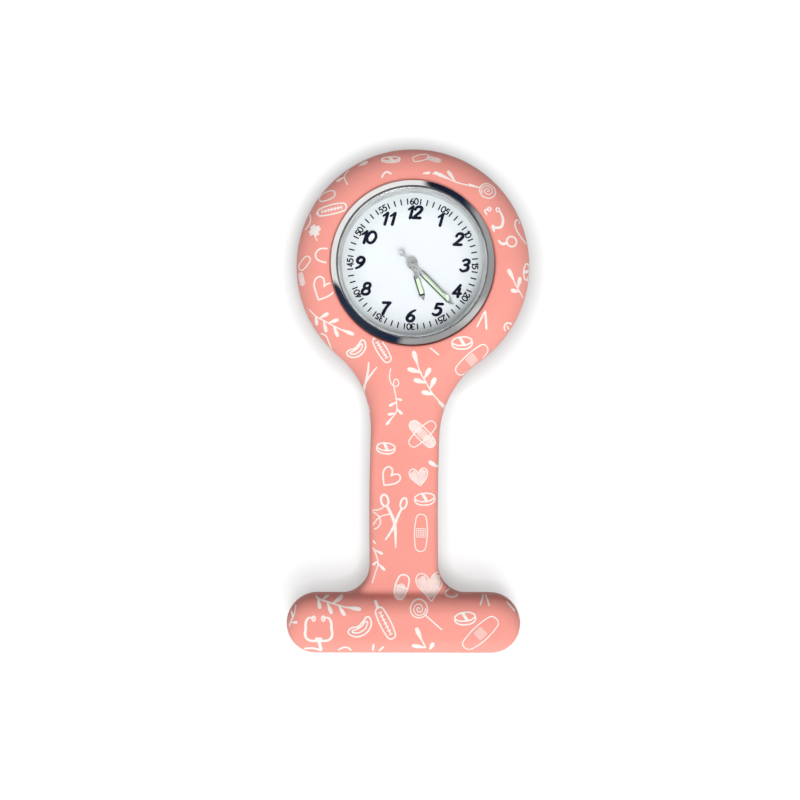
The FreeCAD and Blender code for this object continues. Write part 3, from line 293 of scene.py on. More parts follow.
def make_finishes(colours):
    """Every finish, under the name that the pieces know it by."""
    steel = tuple(colours.steel)
    grey_steel = shade(steel, 0.86)
    made = (
        ("silicone", rubber_finish(tuple(colours.rubber))),
        ("polished_steel", polished_finish("polished_steel", steel, 0.07)),
        ("satin_steel", brushed_finish("satin_steel", grey_steel, 0.28, (0.05, 1.0, 1.0))),
        ("ring_brushed", brushed_finish("ring_brushed_steel", grey_steel, 0.28, (1, 1, 1), HEAD, rings=True)),
        ("glass", glass_finish()),
        ("dial_white", enamel_finish(tuple(colours.dial), (HEAD.x, HEAD.y, DIAL_TOP))),
        ("dial_ink", plain_finish("dial_ink", tuple(colours.ink), 0.6, mottle=0.1)),
        ("hand_silver", polished_finish("hand_silver", steel, 0.3)),
        ("lume", plain_finish("luminous_fill", tuple(colours.lume), 0.6, mottle=0.06, grain=3000.0)),
        ("rehaut", polished_finish("rehaut_silver", shade(steel, 0.95), 0.38)),
        # Near black: painted shade on one border of each hand and in the centre stud's dimple.
        ("painted_hand_shade", plain_finish("painted_hand_shade", (0.03, 0.035, 0.03), 0.4)),
        ("gasket_grey", plain_finish("gasket_grey", (0.12, 0.12, 0.13), 0.4)),
        ("print_white", plain_finish("printed_white", tuple(colours.print_white), 0.45,
                                     mottle=0.02, grain=2500.0)),
        ("print_pale", plain_finish("printed_pale", tuple(colours.print_pale), 0.5,
                                    mottle=0.06, grain=5000.0)),
        ("brass", polished_finish("rolled_brass", (0.80, 0.62, 0.30), 0.25)),
        ("gasket_black", plain_finish("gasket_rubber", (0.02, 0.02, 0.02), 0.7)),
        ("white_plastic", plain_finish("white_plastic", (0.78, 0.78, 0.76), 0.45)),
        ("board_green", plain_finish("board_lacquer", (0.03, 0.16, 0.06), 0.3, mottle=0.15)),
        ("chip_black", plain_finish("chip_epoxy", (0.015, 0.015, 0.016), 0.5)),
        ("copper_wire", wound_finish("copper_winding", (0.72, 0.30, 0.14))),
        ("soft_iron", brushed_finish("soft_iron", (0.42, 0.42, 0.43), 0.4, (1.0, 0.08, 1.0))),
        ("magnet", plain_finish("sintered_magnet", (0.12, 0.12, 0.13), 0.45, metallic=0.7, mottle=0.2)),
    )
    finishes.update(made)
    ink = next(node for node in finishes["dial_ink"].node_tree.nodes if node.type == "BSDF_PRINCIPLED")
    ink.inputs["Specular IOR Level"].default_value = 0.1


def coat(piece, finish):
    """Give a piece its only material: the finish that its record's slot stands for."""
    piece.data.materials.clear()
    piece.data.materials.append(finishes[finish])


# ---------------------------------------------------------------- shaping
def deselect():
    """Leave nothing selected, out of edit mode."""
    if bpy.context.mode != "OBJECT":
        bpy.ops.object.mode_set(mode="OBJECT")
    bpy.ops.object.select_all(action="DESELECT")


def choose(piece):
    """Select one piece alone and make it active."""
    deselect()
    piece.select_set(True)
    bpy.context.view_layer.objects.active = piece


def named(piece, name):
    piece.name = name
    piece.data.name = name
    return piece


def edit(piece):
    choose(piece)
    bpy.ops.object.mode_set(mode="EDIT")
    bpy.ops.mesh.select_all(action="SELECT")


def leave_edit():
    bpy.ops.object.mode_set(mode="OBJECT")


def apply_modifier(piece, kind, **settings):
    """Run a modifier on a piece at once."""
    choose(piece)
    modifier = piece.modifiers.new(kind.lower(), kind)
    for key, value in settings.items():
        setattr(modifier, key, value)
    bpy.ops.object.modifier_apply(modifier=modifier.name)


def clean(piece, distance=1e-6):
    """Merge doubled points and point every face outwards."""
    edit(piece)
    bpy.ops.mesh.remove_doubles(threshold=distance)
    bpy.ops.mesh.normals_make_consistent(inside=False)
    leave_edit()


def smooth(piece, degrees=35.0):
    choose(piece)
    bpy.ops.object.shade_smooth_by_angle(angle=math.radians(degrees))


def settle(piece):
    """Put a piece's place into its mesh."""
    choose(piece)
    bpy.ops.object.transform_apply(location=True, rotation=True, scale=True)


def loop_of(name, points, fill="NOTHING"):
    """A ring of points started as a circle and moved to its outline (x, y, z)."""
    deselect()
    bpy.ops.mesh.primitive_circle_add(vertices=len(points), radius=MM, fill_type=fill)
    piece = named(bpy.context.object, name)
    for vertex, point in zip(piece.data.vertices, points):
        vertex.co = point
    return piece


def rounded(corners, segments=5):
    """A profile whose corners (radius, height, rounding) are rounded."""
    points = []
    count = len(corners)
    for index, (x, z, size) in enumerate(corners):
        here = Vector((x, z))
        if not size:
            points.append((x, z))
            continue
        before = (Vector(corners[index - 1][:2]) - here).normalized()
        after = (Vector(corners[(index + 1) % count][:2]) - here).normalized()
        half = math.acos(max(-1.0, min(1.0, before.dot(after)))) / 2
        reach = size / math.tan(half)
        middle = here + (before + after).normalized() * (size / math.sin(half))
        start, end = here + before * reach, here + after * reach
        first, last = start - middle, end - middle
        sweep = first.angle_signed(last)
        for step in range(segments + 1):
            turn = Matrix.Rotation(-sweep * step / segments, 2)
            points.append(tuple(middle + turn @ first))
    return points


SUPPORT = 0.06                  # mm from the end of a long line to its supporting point


def supported(profile, closed):
    """A profile with two more points near the ends of every long line, so that smooth shading stays there."""
    points = []
    pairs = list(zip(profile, profile[1:] + profile[:1]))
    for index, (start, end) in enumerate(pairs):
        points.append(start)
        across = Vector(end) - Vector(start)
        if across.length > 8 * SUPPORT and (closed or index < len(pairs) - 1):
            step = across.normalized() * SUPPORT
            points += [tuple(Vector(start) + step), tuple(Vector(end) - step)]
    return points


def delete_marked(piece, kind, marked):
    """Delete the edges or the vertices that a test marks."""
    edit(piece)
    bpy.ops.mesh.select_mode(type=kind)
    bpy.ops.mesh.select_all(action="DESELECT")
    leave_edit()
    for item in piece.data.edges if kind == "EDGE" else piece.data.vertices:
        item.select = marked(item)
    choose(piece)
    bpy.ops.object.mode_set(mode="EDIT")
    bpy.ops.mesh.delete(type=kind)
    leave_edit()


def turned(name, profile, closed=True, steps=TURN_STEPS):
    """A piece turned about the head's upright axis from a profile of (radius, height) in mm."""
    profile = supported(profile, closed)
    piece = loop_of(name, [(x * MM, 0, z * MM) for x, z in profile])
    if not closed:
        last = len(profile) - 1
        delete_marked(piece, "EDGE", lambda edge: set(edge.vertices) == {0, last})
    apply_modifier(piece, "SCREW", axis="Z", angle=math.tau, steps=steps, render_steps=steps,
                   use_merge_vertices=True, merge_threshold=1e-6, use_smooth_shade=True)
    clean(piece)
    piece.location = HEAD
    settle(piece)
    return piece


def prism(name, outline, low, high):
    """A solid of an outline (x, y) in metres between two heights."""
    piece = loop_of(name, [(x, y, low) for x, y in outline], fill="NGON")
    edit(piece)
    bpy.ops.mesh.extrude_region_move(TRANSFORM_OT_translate={"value": (0, 0, high - low)})
    leave_edit()
    clean(piece)
    return piece


def arc(centre, radius, start, end, count):
    """Points on an arc, from one bearing to another, in degrees."""
    return [(centre[0] + radius * math.cos(math.radians(start + (end - start) * step / count)),
             centre[1] + radius * math.sin(math.radians(start + (end - start) * step / count)))
            for step in range(count + 1)]


def ease(value):
    """A smooth step from 0 to 1."""
    value = max(0.0, min(1.0, value))
    return value * value * (3 - 2 * value)


def refined(node, name, edge, slot, body, finish=None, angle=40.0):
    """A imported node's own shape as a new piece: merged, its edges eased, and shaded smooth."""
    piece = bpy.data.objects.new(name, frame["nodes"][node].data.copy())
    bpy.context.scene.collection.objects.link(piece)
    named(piece, name)
    edit(piece)
    bpy.ops.mesh.remove_doubles(threshold=2e-6)
    bpy.ops.mesh.dissolve_limited(angle_limit=math.radians(1.0))
    leave_edit()
    apply_modifier(piece, "BEVEL", width=edge, segments=2, limit_method="ANGLE",
                   angle_limit=math.radians(angle), use_clamp_overlap=True)
    smooth(piece, 32)
    coat(piece, finish or slot)
    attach(piece, body)
    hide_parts(node)
    return piece


# ---------------------------------------------------------------- silicone holder
def head_solid(sizes):
    """The round head, with its two rounded rims."""
    radius, height = sizes.head_radius / MM, sizes.head_height / MM
    low, high = sizes.low_round / MM, sizes.high_round / MM
    profile = [(0, 0), *arc((radius - low, low), low, -90, 0, 12),
               *arc((radius - high, height - high), high, 0, 90, 16), (0, height)]
    return turned("rubber_head", profile, closed=False)


BAR_LEAN = 1.7                  # degrees that the soft bar lies turned
BAR_SUNK = 0.42 * MM            # how deep the fillets of the stem start within the bar
BAR_ROUND = 0.42                # rounding of the bar's rims, as a share of its thickness
WITH_BAR = 5 * MM, 9 * MM       # the stem turns with the bar this far, and lets go over this length
STEM_ASIDE = -0.55 * MM         # how far the soft stem lies aside at the neck
ASIDE_RISE = 26 * MM            # length over which it comes to lie aside
ASIDE_END = -7 * MM, 18 * MM    # it comes back from here, over this length
INTO_HEAD = -9 * MM, 17 * MM    # the stem rises into the head's face from here, over this length


def stem_solid(sizes):
    """The neck and stem, rising gently into the head's face."""
    half = sizes.stem_width / 2
    reach = sizes.head_radius + sizes.neck_round
    centre_x = half + sizes.neck_round
    drop = math.sqrt(reach ** 2 - centre_x ** 2)
    centre = (centre_x, HEAD.y - drop)
    bearing = math.degrees(math.atan2(drop, centre_x))
    bar_top = BAR.y + sizes.bar_width / 2 - BAR_SUNK
    foot = (half + sizes.bar_fillet, bar_top + sizes.bar_fillet)
    right = [(half + sizes.bar_fillet, BAR.y), (half + sizes.bar_fillet, bar_top)]
    right += arc(foot, sizes.bar_fillet, 270, 180, 10)
    right += arc(centre, sizes.neck_round, 180, 180 - bearing, 16)
    right.append((sizes.head_radius * 0.5, HEAD.y))
    left = [(-x, y) for x, y in reversed(right)]
    right, left = ([eased_aside(point) for point in spaced(side)] for side in (right, left))
    piece = prism("rubber_stem", right + left, sizes.stem_low, sizes.stem_high)
    apply_modifier(piece, "REMESH", mode="VOXEL", voxel_size=sizes.voxel * 1.2)
    sides = edge_tree([right, left], 0.15 * MM)
    rise = sizes.head_height - sizes.stem_high
    for vertex in piece.data.vertices:
        near = sides.find((vertex.co.x, vertex.co.y, 0))[2]
        into_head = ease((vertex.co.y - INTO_HEAD[0]) / INTO_HEAD[1])
        top = sizes.stem_high + rise * into_head
        over = sizes.stem_edge + (sizes.high_round - sizes.stem_edge) * into_head
        under = sizes.stem_edge * (1 + 0.6 * into_head)
        low = sizes.stem_low + drop_at(near, under)
        high = top - drop_at(near, over)
        share = (vertex.co.z - sizes.stem_low) / (sizes.stem_high - sizes.stem_low)
        vertex.co.z = low + (high - low) * max(0.0, min(1.0, share))
    return piece


def drop_at(distance, radius):
    """How far a rounded edge has dropped at a distance from it."""
    if distance >= radius:
        return 0.0
    return radius - math.sqrt(max(0.0, radius ** 2 - (radius - distance) ** 2))


def edge_tree(outlines, spacing):
    """A search tree of points spread along outlines."""
    points = []
    for outline in outlines:
        for start, end in zip(outline, outline[1:]):
            start, end = Vector((*start, 0)), Vector((*end, 0))
            count = max(1, int((end - start).length / spacing))
            points += [start.lerp(end, step / count) for step in range(count + 1)]
    tree = KDTree(len(points))
    for index, point in enumerate(points):
        tree.insert(point, index)
    tree.balance()
    return tree


def leaned(point):
    """A point of the bar's outline, turned about the bar's middle."""
    angle = math.radians(BAR_LEAN)
    x, y = point[0] - BAR.x, point[1] - BAR.y
    return (BAR.x + x * math.cos(angle) - y * math.sin(angle),
            BAR.y + x * math.sin(angle) + y * math.cos(angle))


def eased_aside(point):
    """A point of the stem's outline, moved aside as the soft stem lies."""
    past_bar = point[1] - BAR.y
    away = ease(past_bar / ASIDE_RISE) * (1 - ease((point[1] - ASIDE_END[0]) / ASIDE_END[1]))
    with_bar = 1 - ease((past_bar - WITH_BAR[0]) / WITH_BAR[1])
    turned_y = point[1] + (leaned(point)[1] - point[1]) * with_bar
    return point[0] + STEM_ASIDE * away, turned_y


def spaced(outline):
    """An outline with points at most 1 mm apart."""
    points = []
    for start, end in zip(outline, outline[1:]):
        count = max(1, math.ceil(math.dist(start, end) / MM))
        points += [tuple(Vector(start).lerp(Vector(end), step / count)) for step in range(count)]
    return points + [outline[-1]]


def bar_solid(sizes):
    """The cross bar: a thick capsule with its front and back rims rounded alike, turned a little as the soft bar
    lies.
    """
    half = sizes.bar_width / 2
    flat = sizes.bar_length / 2 - half
    outline = arc((flat, BAR.y), half, -90, 90, 24) + arc((-flat, BAR.y), half, 90, 270, 24)
    piece = prism("rubber_bar", [leaned(point) for point in outline], sizes.stem_low, sizes.bar_high)
    height = sizes.bar_high - sizes.stem_low
    apply_modifier(piece, "BEVEL", width=height * BAR_ROUND, segments=8, limit_method="ANGLE",
                   angle_limit=math.radians(60))
    return piece


def blended(pieces, sizes, name):
    """Solids joined, blended on the rubber's grid and smoothed."""
    deselect()
    for piece in pieces:
        piece.select_set(True)
    bpy.context.view_layer.objects.active = pieces[0]
    bpy.ops.object.join()
    piece = named(bpy.context.object, name)
    apply_modifier(piece, "REMESH", mode="VOXEL", voxel_size=sizes.voxel)
    apply_modifier(piece, "CORRECTIVE_SMOOTH", factor=0.5, iterations=10, smooth_type="LENGTH_WEIGHTED",
                   use_only_smooth=True)
    return piece


def block(name, low, high):
    """A box between two corners, in metres."""
    deselect()
    middle = [(a + b) / 2 for a, b in zip(low, high)]
    bpy.ops.mesh.primitive_cube_add(size=1, location=middle, scale=[b - a for a, b in zip(low, high)])
    piece = named(bpy.context.object, name)
    settle(piece)
    return piece


def cut(piece, cutter):
    """Take a closed cutter out of a piece and drop the cutter."""
    apply_modifier(piece, "BOOLEAN", operation="DIFFERENCE", object=cutter, solver="MANIFOLD")
    bpy.data.objects.remove(cutter)


# The holder's openings, in mm: radii of the pocket and of the hole behind it, and their heights.
POCKET_RADIUS = 12.5
POCKET_FLOOR, POCKET_STEP = 1.2, 6.25
HOLE_RADIUS = 9.1
FLANGE_PLAY = 0.1
LIP = ((0.0, 9.1), (0.06, 9.35), (0.22, 9.55), (0.55, 9.66), (0.55, 12))    # past the flange, and height
CROWN_CHANNEL = (12, -1.5, 3.4), (14.7, 1.5, 6.3)                           # corners, from the head's middle
SEAT_DEPTH = 0.7
WINDOW_END, WINDOW_HALF, WINDOW_LOW, WINDOW_OVER = 3.0, 2.4, 2, 0.1


def cut_openings(cover):
    """The watch's pocket with its soft lip, the hole behind it, the crown's channel and the brooch's seat."""
    flange = (CASE_HIGH.x - HEAD.x) / MM + FLANGE_PLAY
    pocket = [(0, -1), (HOLE_RADIUS, -1), (HOLE_RADIUS + 0.4, 0.5), (HOLE_RADIUS + 0.4, POCKET_FLOOR),
              (POCKET_RADIUS, POCKET_FLOOR), (POCKET_RADIUS, POCKET_STEP), (flange, POCKET_STEP),
              *((flange + out, height) for out, height in LIP), (0, 12)]
    cut(cover, turned("pocket_cutter", pocket, closed=False))
    cut(cover, block("crown_cutter", *((HEAD.x + x * MM, HEAD.y + y * MM, z * MM)
                                       for x, y, z in CROWN_CHANNEL)))
    seat_z = SEAT_HIGH.z - SEAT_DEPTH * MM
    cut(cover, block("seat_cutter", (SEAT_LOW.x, SEAT_LOW.y, seat_z), SEAT_HIGH))
    cut(cover, block("window_cutter",
                     (SEAT_LOW.x + WINDOW_END * MM, BAR.y - WINDOW_HALF * MM, WINDOW_LOW * MM),
                     (SEAT_HIGH.x - WINDOW_END * MM, BAR.y + WINDOW_HALF * MM, seat_z + WINDOW_OVER * MM)))


printing_form = []


class FOB_OT_holder(bpy.types.Operator):
    """Silicone holder: head, neck, stem and bar in one soft moulding"""
    bl_idname = "fob.holder"
    bl_label = "Silicone holder"

    def execute(self, context):
        sizes = context.scene.fob_sizes
        form = blended([head_solid(sizes), stem_solid(sizes), bar_solid(sizes)], sizes, "printing_form")
        cover = form.copy()
        cover.data = form.data.copy()
        context.scene.collection.objects.link(cover)
        named(cover, "silicone_cover")
        cut_openings(cover)
        smooth(cover, 38)
        coat(cover, "silicone")
        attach(cover, "holder")
        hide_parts("silicone_holder")
        printing_form.append(form)
        return {"FINISHED"}


# ---------------------------------------------------------------- drawn lines
def line(points, width=1.0, closed=False, sharp=False, pale=False):
    """One drawn line: its points in mm, its width as a share of the usual one, or one width a point."""
    widths = width if isinstance(width, (list, tuple)) else [width] * len(points)
    return {"points": [tuple(point) for point in points], "widths": list(widths), "closed": closed,
            "sharp": sharp, "pale": pale}


def straight(points, width=1.0, **kind):
    """A drawn line with sharp corners."""
    return line(points, width, sharp=True, **kind)


def moved(lines, place=(0, 0), turn=0.0, size=1.0, squash=1.0, slant=0.0):
    """Lines slanted, sized, squashed upright, turned (degrees) and moved."""
    cosine, sine = math.cos(math.radians(turn)), math.sin(math.radians(turn))
    result = []
    for item in lines:
        points = []
        for x, y in item["points"]:
            x, y = (x + slant * y) * size, y * size * squash
            points.append((place[0] + x * cosine - y * sine, place[1] + x * sine + y * cosine))
        result.append({**item, "points": points})
    return result


ROUND_END = ((0.5, 0.87), (0.85, 0.53), (1.0, 0.1))     # reach and width past a line's end, in half widths
LONGEST = 0.35                  # mm between the points of a straight line
THINNEST = 0.004                # half width of the thinnest ribbon, in mm
LAYER = 0.0006 * MM             # each line lies this much above the one before it


def with_steps(points, halves, closed):
    """A straight line's points and half widths, with more points between them."""
    ends = list(zip(points, halves))
    pairs = list(zip(ends, ends[1:] + ends[:1])) if closed else list(zip(ends, ends[1:]))
    result = []
    for (start, thick), (end, thin) in pairs:
        count = max(1, math.ceil((end - start).length / LONGEST))
        result += [(start.lerp(end, step / count), thick + (thin - thick) * step / count)
                   for step in range(count)]
    if not closed:
        result.append(ends[-1])
    return [spot[0] for spot in result], [spot[1] for spot in result]


def with_round_ends(item, width):
    """The line's points and half widths, with three more points at each open end that round it off."""
    points = [Vector(point) for point in item["points"]]
    halves = [width * share / 2 for share in item["widths"]]
    if item["sharp"]:
        points, halves = with_steps(points, halves, item["closed"])
    if item["closed"]:
        return points, halves
    for end, beside in ((0, 1), (-1, -2)):
        out = points[end] - points[beside]
        if out.length < 1e-9 or halves[end] < width * 0.1:
            continue
        out.normalize()
        more = [points[end] + out * halves[end] * reach for reach, share in ROUND_END]
        thin = [halves[end] * share for reach, share in ROUND_END]
        if end == 0:
            points = more[::-1] + points
            halves = thin[::-1] + halves
        else:
            points += more
            halves += thin
    return points, halves


def flat_nib():
    """A flat five-point line, one millimetre each way, that drawn lines are swept with."""
    deselect()
    bpy.ops.curve.primitive_nurbs_path_add()
    nib = named(bpy.context.object, "flat_nib")
    nib.data.splines.clear()
    spline = nib.data.splines.new("POLY")
    spline.points.add(4)
    for index, point in enumerate(spline.points):
        point.co = ((index - 2) / 2 * MM, 0, 0, 1)
    return nib


def draw(name, lines, width, height, steps=5):
    """Flat ribbons along lines, at a height, as one mesh."""
    nib = flat_nib()
    deselect()
    bpy.ops.curve.primitive_bezier_curve_add()
    piece = named(bpy.context.object, name)
    curve = piece.data
    curve.splines.clear()
    curve.dimensions = "3D"
    curve.twist_mode = "Z_UP"
    curve.resolution_u = steps
    curve.bevel_mode = "OBJECT"
    curve.bevel_object = nib
    for index, item in enumerate(lines):
        points, halves = with_round_ends(item, width / MM)
        spline = curve.splines.new("BEZIER")
        spline.bezier_points.add(len(points) - 1)
        spline.use_cyclic_u = item["closed"]
        for spot, point, half in zip(spline.bezier_points, points, halves):
            spot.co = (point.x * MM, point.y * MM, height + index * LAYER)
            spot.radius = max(half, THINNEST)
            spot.handle_left_type = spot.handle_right_type = "VECTOR" if item["sharp"] else "AUTO"
    choose(piece)
    bpy.ops.object.convert(target="MESH")
    bpy.data.objects.remove(nib)
    return bpy.context.object


# Figures as a pen draws them, in a box 0.6 wide and 1 tall.
FIGURES = {
    "0": [line([(0.3, 0.97), (0.06, 0.75), (0.04, 0.25), (0.3, 0.03), (0.56, 0.25), (0.56, 0.75)], closed=True)],
    "1": [straight([(0.14, 0.73), (0.42, 0.98)], [0.7, 1.0]),
          straight([(0.42, 0.98), (0.40, 0.03)], [1.0, 1.05])],
    "2": [line([(0.08, 0.74), (0.14, 0.91), (0.33, 0.98), (0.53, 0.86), (0.50, 0.62), (0.30, 0.34), (0.05, 0.05)],
               [0.9, 0.9, 1.0, 1.1, 1.1, 1.0, 0.8]),
          straight([(0.05, 0.05), (0.58, 0.05)])],
    "3": [line([(0.08, 0.86), (0.30, 0.98), (0.52, 0.84), (0.46, 0.61), (0.24, 0.53)],
               [0.8, 0.9, 1.1, 1.0, 0.8]),
          line([(0.24, 0.53), (0.50, 0.45), (0.56, 0.23), (0.38, 0.04), (0.17, 0.03), (0.03, 0.14)],
               [0.8, 1.0, 1.15, 1.0, 0.9, 0.8])],
    "4": [straight([(0.42, 0.98), (0.04, 0.28)], [1.0, 0.9]),
          straight([(0.04, 0.28), (0.60, 0.28)], 0.9),
          straight([(0.43, 0.70), (0.43, 0.03)], [1.0, 1.1])],
    "5": [straight([(0.56, 0.95), (0.17, 0.95)]),
          straight([(0.17, 0.95), (0.11, 0.55)], [1.0, 0.8]),
          line([(0.11, 0.55), (0.30, 0.63), (0.52, 0.50), (0.53, 0.22), (0.35, 0.04), (0.15, 0.04), (0.03, 0.13)],
               [0.8, 0.9, 1.1, 1.15, 1.0, 0.9, 0.8])],
    "6": [line([(0.50, 0.96), (0.26, 0.80), (0.08, 0.48), (0.07, 0.20), (0.27, 0.03), (0.49, 0.13), (0.52, 0.36),
                (0.36, 0.52), (0.16, 0.44), (0.08, 0.28)],
               [0.7, 0.9, 1.1, 1.1, 1.0, 1.1, 1.1, 0.9, 0.8, 0.7])],
    "7": [straight([(0.06, 0.95), (0.57, 0.95)]),
          line([(0.57, 0.95), (0.38, 0.58), (0.24, 0.03)], [0.9, 1.0, 1.15])],
    "8": [line([(0.3, 0.97), (0.12, 0.88), (0.12, 0.64), (0.3, 0.54), (0.48, 0.64), (0.48, 0.88)], closed=True),
          line([(0.3, 0.54), (0.07, 0.40), (0.07, 0.14), (0.3, 0.03), (0.53, 0.14), (0.53, 0.40)], closed=True)],
}
FIGURE_WIDTH = 0.6
FIGURE_STEP = 0.70              # from one figure to the next
NARROW_ONE = 0.16               # a one stands this much closer in a number of two figures
FIGURES["9"] = [{**item, "points": [(FIGURE_WIDTH - x, 1 - y) for x, y in item["points"]]}
                for item in FIGURES["6"]]


def number(text, height, slant=0.0, broad=1.0):
    """A number's lines, centred on the origin, at a height in mm."""
    lines = []
    narrow = text.startswith("1") and len(text) == 2
    offset = 0.0
    for figure in text:
        lines += moved(FIGURES[figure], (offset, 0))
        offset += FIGURE_STEP - (NARROW_ONE if figure == "1" and narrow else 0.0)
    width = offset - FIGURE_STEP + FIGURE_WIDTH
    centred = moved(lines, (-width / 2, -0.5))
    return moved(centred, size=height * broad, slant=slant, squash=1 / broad)


SLANT, BROAD = 0.2, 1.16        # of the hour numerals, as shares of their height and width
NUMERALS_WIDE = 1.02            # their circle is this much wider than tall
MARK_HALF, FIGURE_TALL = 0.42, 1.04     # half a minute mark and a whole figure, as shares of the track
HEAVY_PEN, FINE_PEN = 0.5 * MM, 0.22 * MM


def round_place(radius, minute):
    """A place on the dial at a radius in mm and at a minute."""
    angle = math.radians(90 - 6 * minute)
    return (HEAD.x / MM + radius * math.cos(angle), HEAD.y / MM + radius * math.sin(angle))


def lay_on_dial(name, lines, width, context):
    """Ink lines on the dial."""
    thickness = context.scene.fob_sizes.ink_thickness
    piece = draw(name, lines, width, DIAL_TOP + thickness * 0.25)
    apply_modifier(piece, "SOLIDIFY", thickness=thickness, offset=0.0)
    clean(piece, 1e-9)
    coat(piece, "dial_ink")
    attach(piece, "watch_head")
    return piece


class FOB_OT_numerals(bpy.types.Operator):
    """Hour numerals: heavy, slanted, drawn with a round pen"""
    bl_idname = "fob.numerals"
    bl_label = "Hour numerals"

    def execute(self, context):
        sizes = context.scene.fob_sizes
        height = sizes.numeral_height / MM
        lines = []
        for hour in range(1, 13):
            x, y = round_place(sizes.numeral_radius / MM, hour * 5)
            lines += moved(number(str(hour), height, SLANT, BROAD), (x * NUMERALS_WIDE, y))
        lay_on_dial("hour_numerals", lines, HEAVY_PEN, context)
        return {"FINISHED"}


class FOB_OT_minute_track(bpy.types.Operator):
    """Minute track: a mark for every minute, and figures every five"""
    bl_idname = "fob.minute_track"
    bl_label = "Minute track"

    def execute(self, context):
        sizes = context.scene.fob_sizes
        radius, height = sizes.track_radius / MM, sizes.track_height / MM
        marks = []
        figures = []
        for minute in range(1, 61):
            if minute % 5:
                marks.append(straight([round_place(radius + side * height * MARK_HALF, minute)
                                       for side in (-1, 1)]))
            else:
                figures += moved(number(f"{minute:02d}", height * FIGURE_TALL), round_place(radius, minute),
                                 turn=-6 * minute)
        lay_on_dial("minute_marks", marks, FINE_PEN, context)
        lay_on_dial("minute_figures", figures, FINE_PEN, context)
        return {"FINISHED"}


# ---------------------------------------------------------------- printed drawings
def oval(width, height, turn=0.0, place=(0, 0), stroke=1.0, count=8):
    """A closed ellipse."""
    points = [(width / 2 * math.cos(math.tau * step / count), height / 2 * math.sin(math.tau * step / count))
              for step in range(count)]
    return moved([line(points, stroke, closed=True)], place, turn)


def capsule(length, width, stroke=0.9):
    """The outline of a strip with round ends, along X."""
    flat, half = length / 2 - width / 2, width / 2
    right = [(flat, -half), (flat + half * 0.72, -half * 0.72), (flat + half, 0), (flat + half * 0.72, half * 0.72),
             (flat, half)]
    left = [(-x, -y) for x, y in right]
    return line(right + left, stroke, closed=True)


def band(length, width):
    """A filled strip with round ends, along X."""
    return straight([(-length / 2 + width / 2, 0), (length / 2 - width / 2, 0)], width / STROKE, pale=True)


def leaf(start, end, width=3.0):
    """A filled leaf from its foot to its rounded tip."""
    start, end = Vector(start), Vector(end)
    points = [tuple(start.lerp(end, share)) for share in (0, 0.3, 0.6, 0.85)]
    return line(points, [0.6, width * 0.62, width, width * 0.86])


def sprig(stem, leaves, width=2.6):
    """A stem with leaves on it."""
    return [line(stem, 0.85)] + [leaf(start, end, width) for start, end in leaves]


def pill():
    """A round scored tablet seen a little from the side."""
    return [*oval(3.0, 1.25, 2, (0, 0.27), 1.0),
            line([(-1.5, 0.2), (-1.5, -0.3), (-0.9, -0.78), (0, -0.9), (0.9, -0.78), (1.5, -0.28), (1.5, 0.25)]),
            straight([(-0.3, 0.8), (0.3, -0.28)], 2.0)]


def gauze():
    """The pad of a plaster, with its weave."""
    lines = [straight([(-0.72, -0.72), (0.72, -0.72), (0.72, 0.72), (-0.72, 0.72)], 0.5, closed=True)]
    for x in (-0.38, 0.0, 0.38):
        for y in (-0.38, 0.0, 0.38):
            lines.append(straight([(x - 0.07, y - 0.05), (x + 0.07, y + 0.05)], 0.8))
    return lines


def plaster(length=6.4, width=1.8):
    """A sticking plaster."""
    return [capsule(length, width, 0.75)] + gauze()


def crossed_plasters(length=5.6, width=1.7):
    """Two plasters laid across each other, one of them filled."""
    reach = length / 2 - width / 2
    widths = [width / STROKE, width / STROKE * 0.94]
    halves = [straight([(side * reach, 0), (side * (width / 2 + 0.35), 0)], widths, pale=True)
              for side in (-1, 1)]
    return [*moved([*halves, capsule(length, width, 0.75)], turn=-45),
            *moved([capsule(length, width, 0.75)], turn=45), *moved(gauze(), turn=45, size=0.85)]


def heart():
    """A heart drawn with two strokes."""
    left = [(0, 0.4), (-0.25, 1.05), (-0.8, 1.45), (-1.4, 1.15), (-1.5, 0.3), (-0.95, -0.6), (0, -1.6)]
    right = [(0, 0.4), (0.4, 1.0), (1.05, 1.3), (1.55, 0.85), (1.5, 0.1), (0.9, -0.8), (0, -1.6)]
    return [line(left, 1.1), line(right, 1.1)]


def filled_heart(size=1.0):
    """A heart filled with brush strokes that meet at its tip."""
    lines = []
    for top, bend in (((-1.1, 0.6), (-0.75, -0.3)), ((1.1, 0.6), (0.75, -0.3)), ((-0.7, 0.85), (-0.5, -0.1)),
                      ((0.72, 0.85), (0.5, -0.1)), ((-0.3, 0.35), (-0.2, -0.5)), ((0.3, 0.35), (0.2, -0.5))):
        lines.append(line([top, bend, (bend[0] * 0.25, -1.15)], [2.6 * size, 2.5 * size, 1.0 * size], pale=True))
    outline = [line(item["points"], 0.8) for item in heart()]
    return moved(lines + outline, size=size)


def scissors():
    """Surgical scissors, points down."""
    return [*oval(1.2, 2.0, 12, (-1.75, 3.4), 1.5), *oval(1.0, 1.85, -14, (1.45, 3.0), 1.4),
            line([(-1.35, 2.5), (-0.6, 1.1), (0.0, -0.4), (0.2, -2.2), (0.3, -4.6)], [1.7, 2.0, 2.1, 1.9, 0.6]),
            line([(1.15, 2.1), (0.55, 0.8), (0.05, -0.6), (-0.6, -1.9), (-1.4, -3.2)], [1.4, 1.8, 2.0, 1.6, 1.2])]


def blades():
    """Two crossed blades, points up."""
    return [line([(0.5, 2.6), (0.4, 1.1), (0.0, -0.7), (-0.4, -2.6)], [0.8, 1.5, 1.5, 1.0]),
            line([(1.9, 1.8), (0.8, 0.4), (-0.3, -1.4), (-0.6, -2.2)], [0.7, 1.4, 1.3, 1.0])]


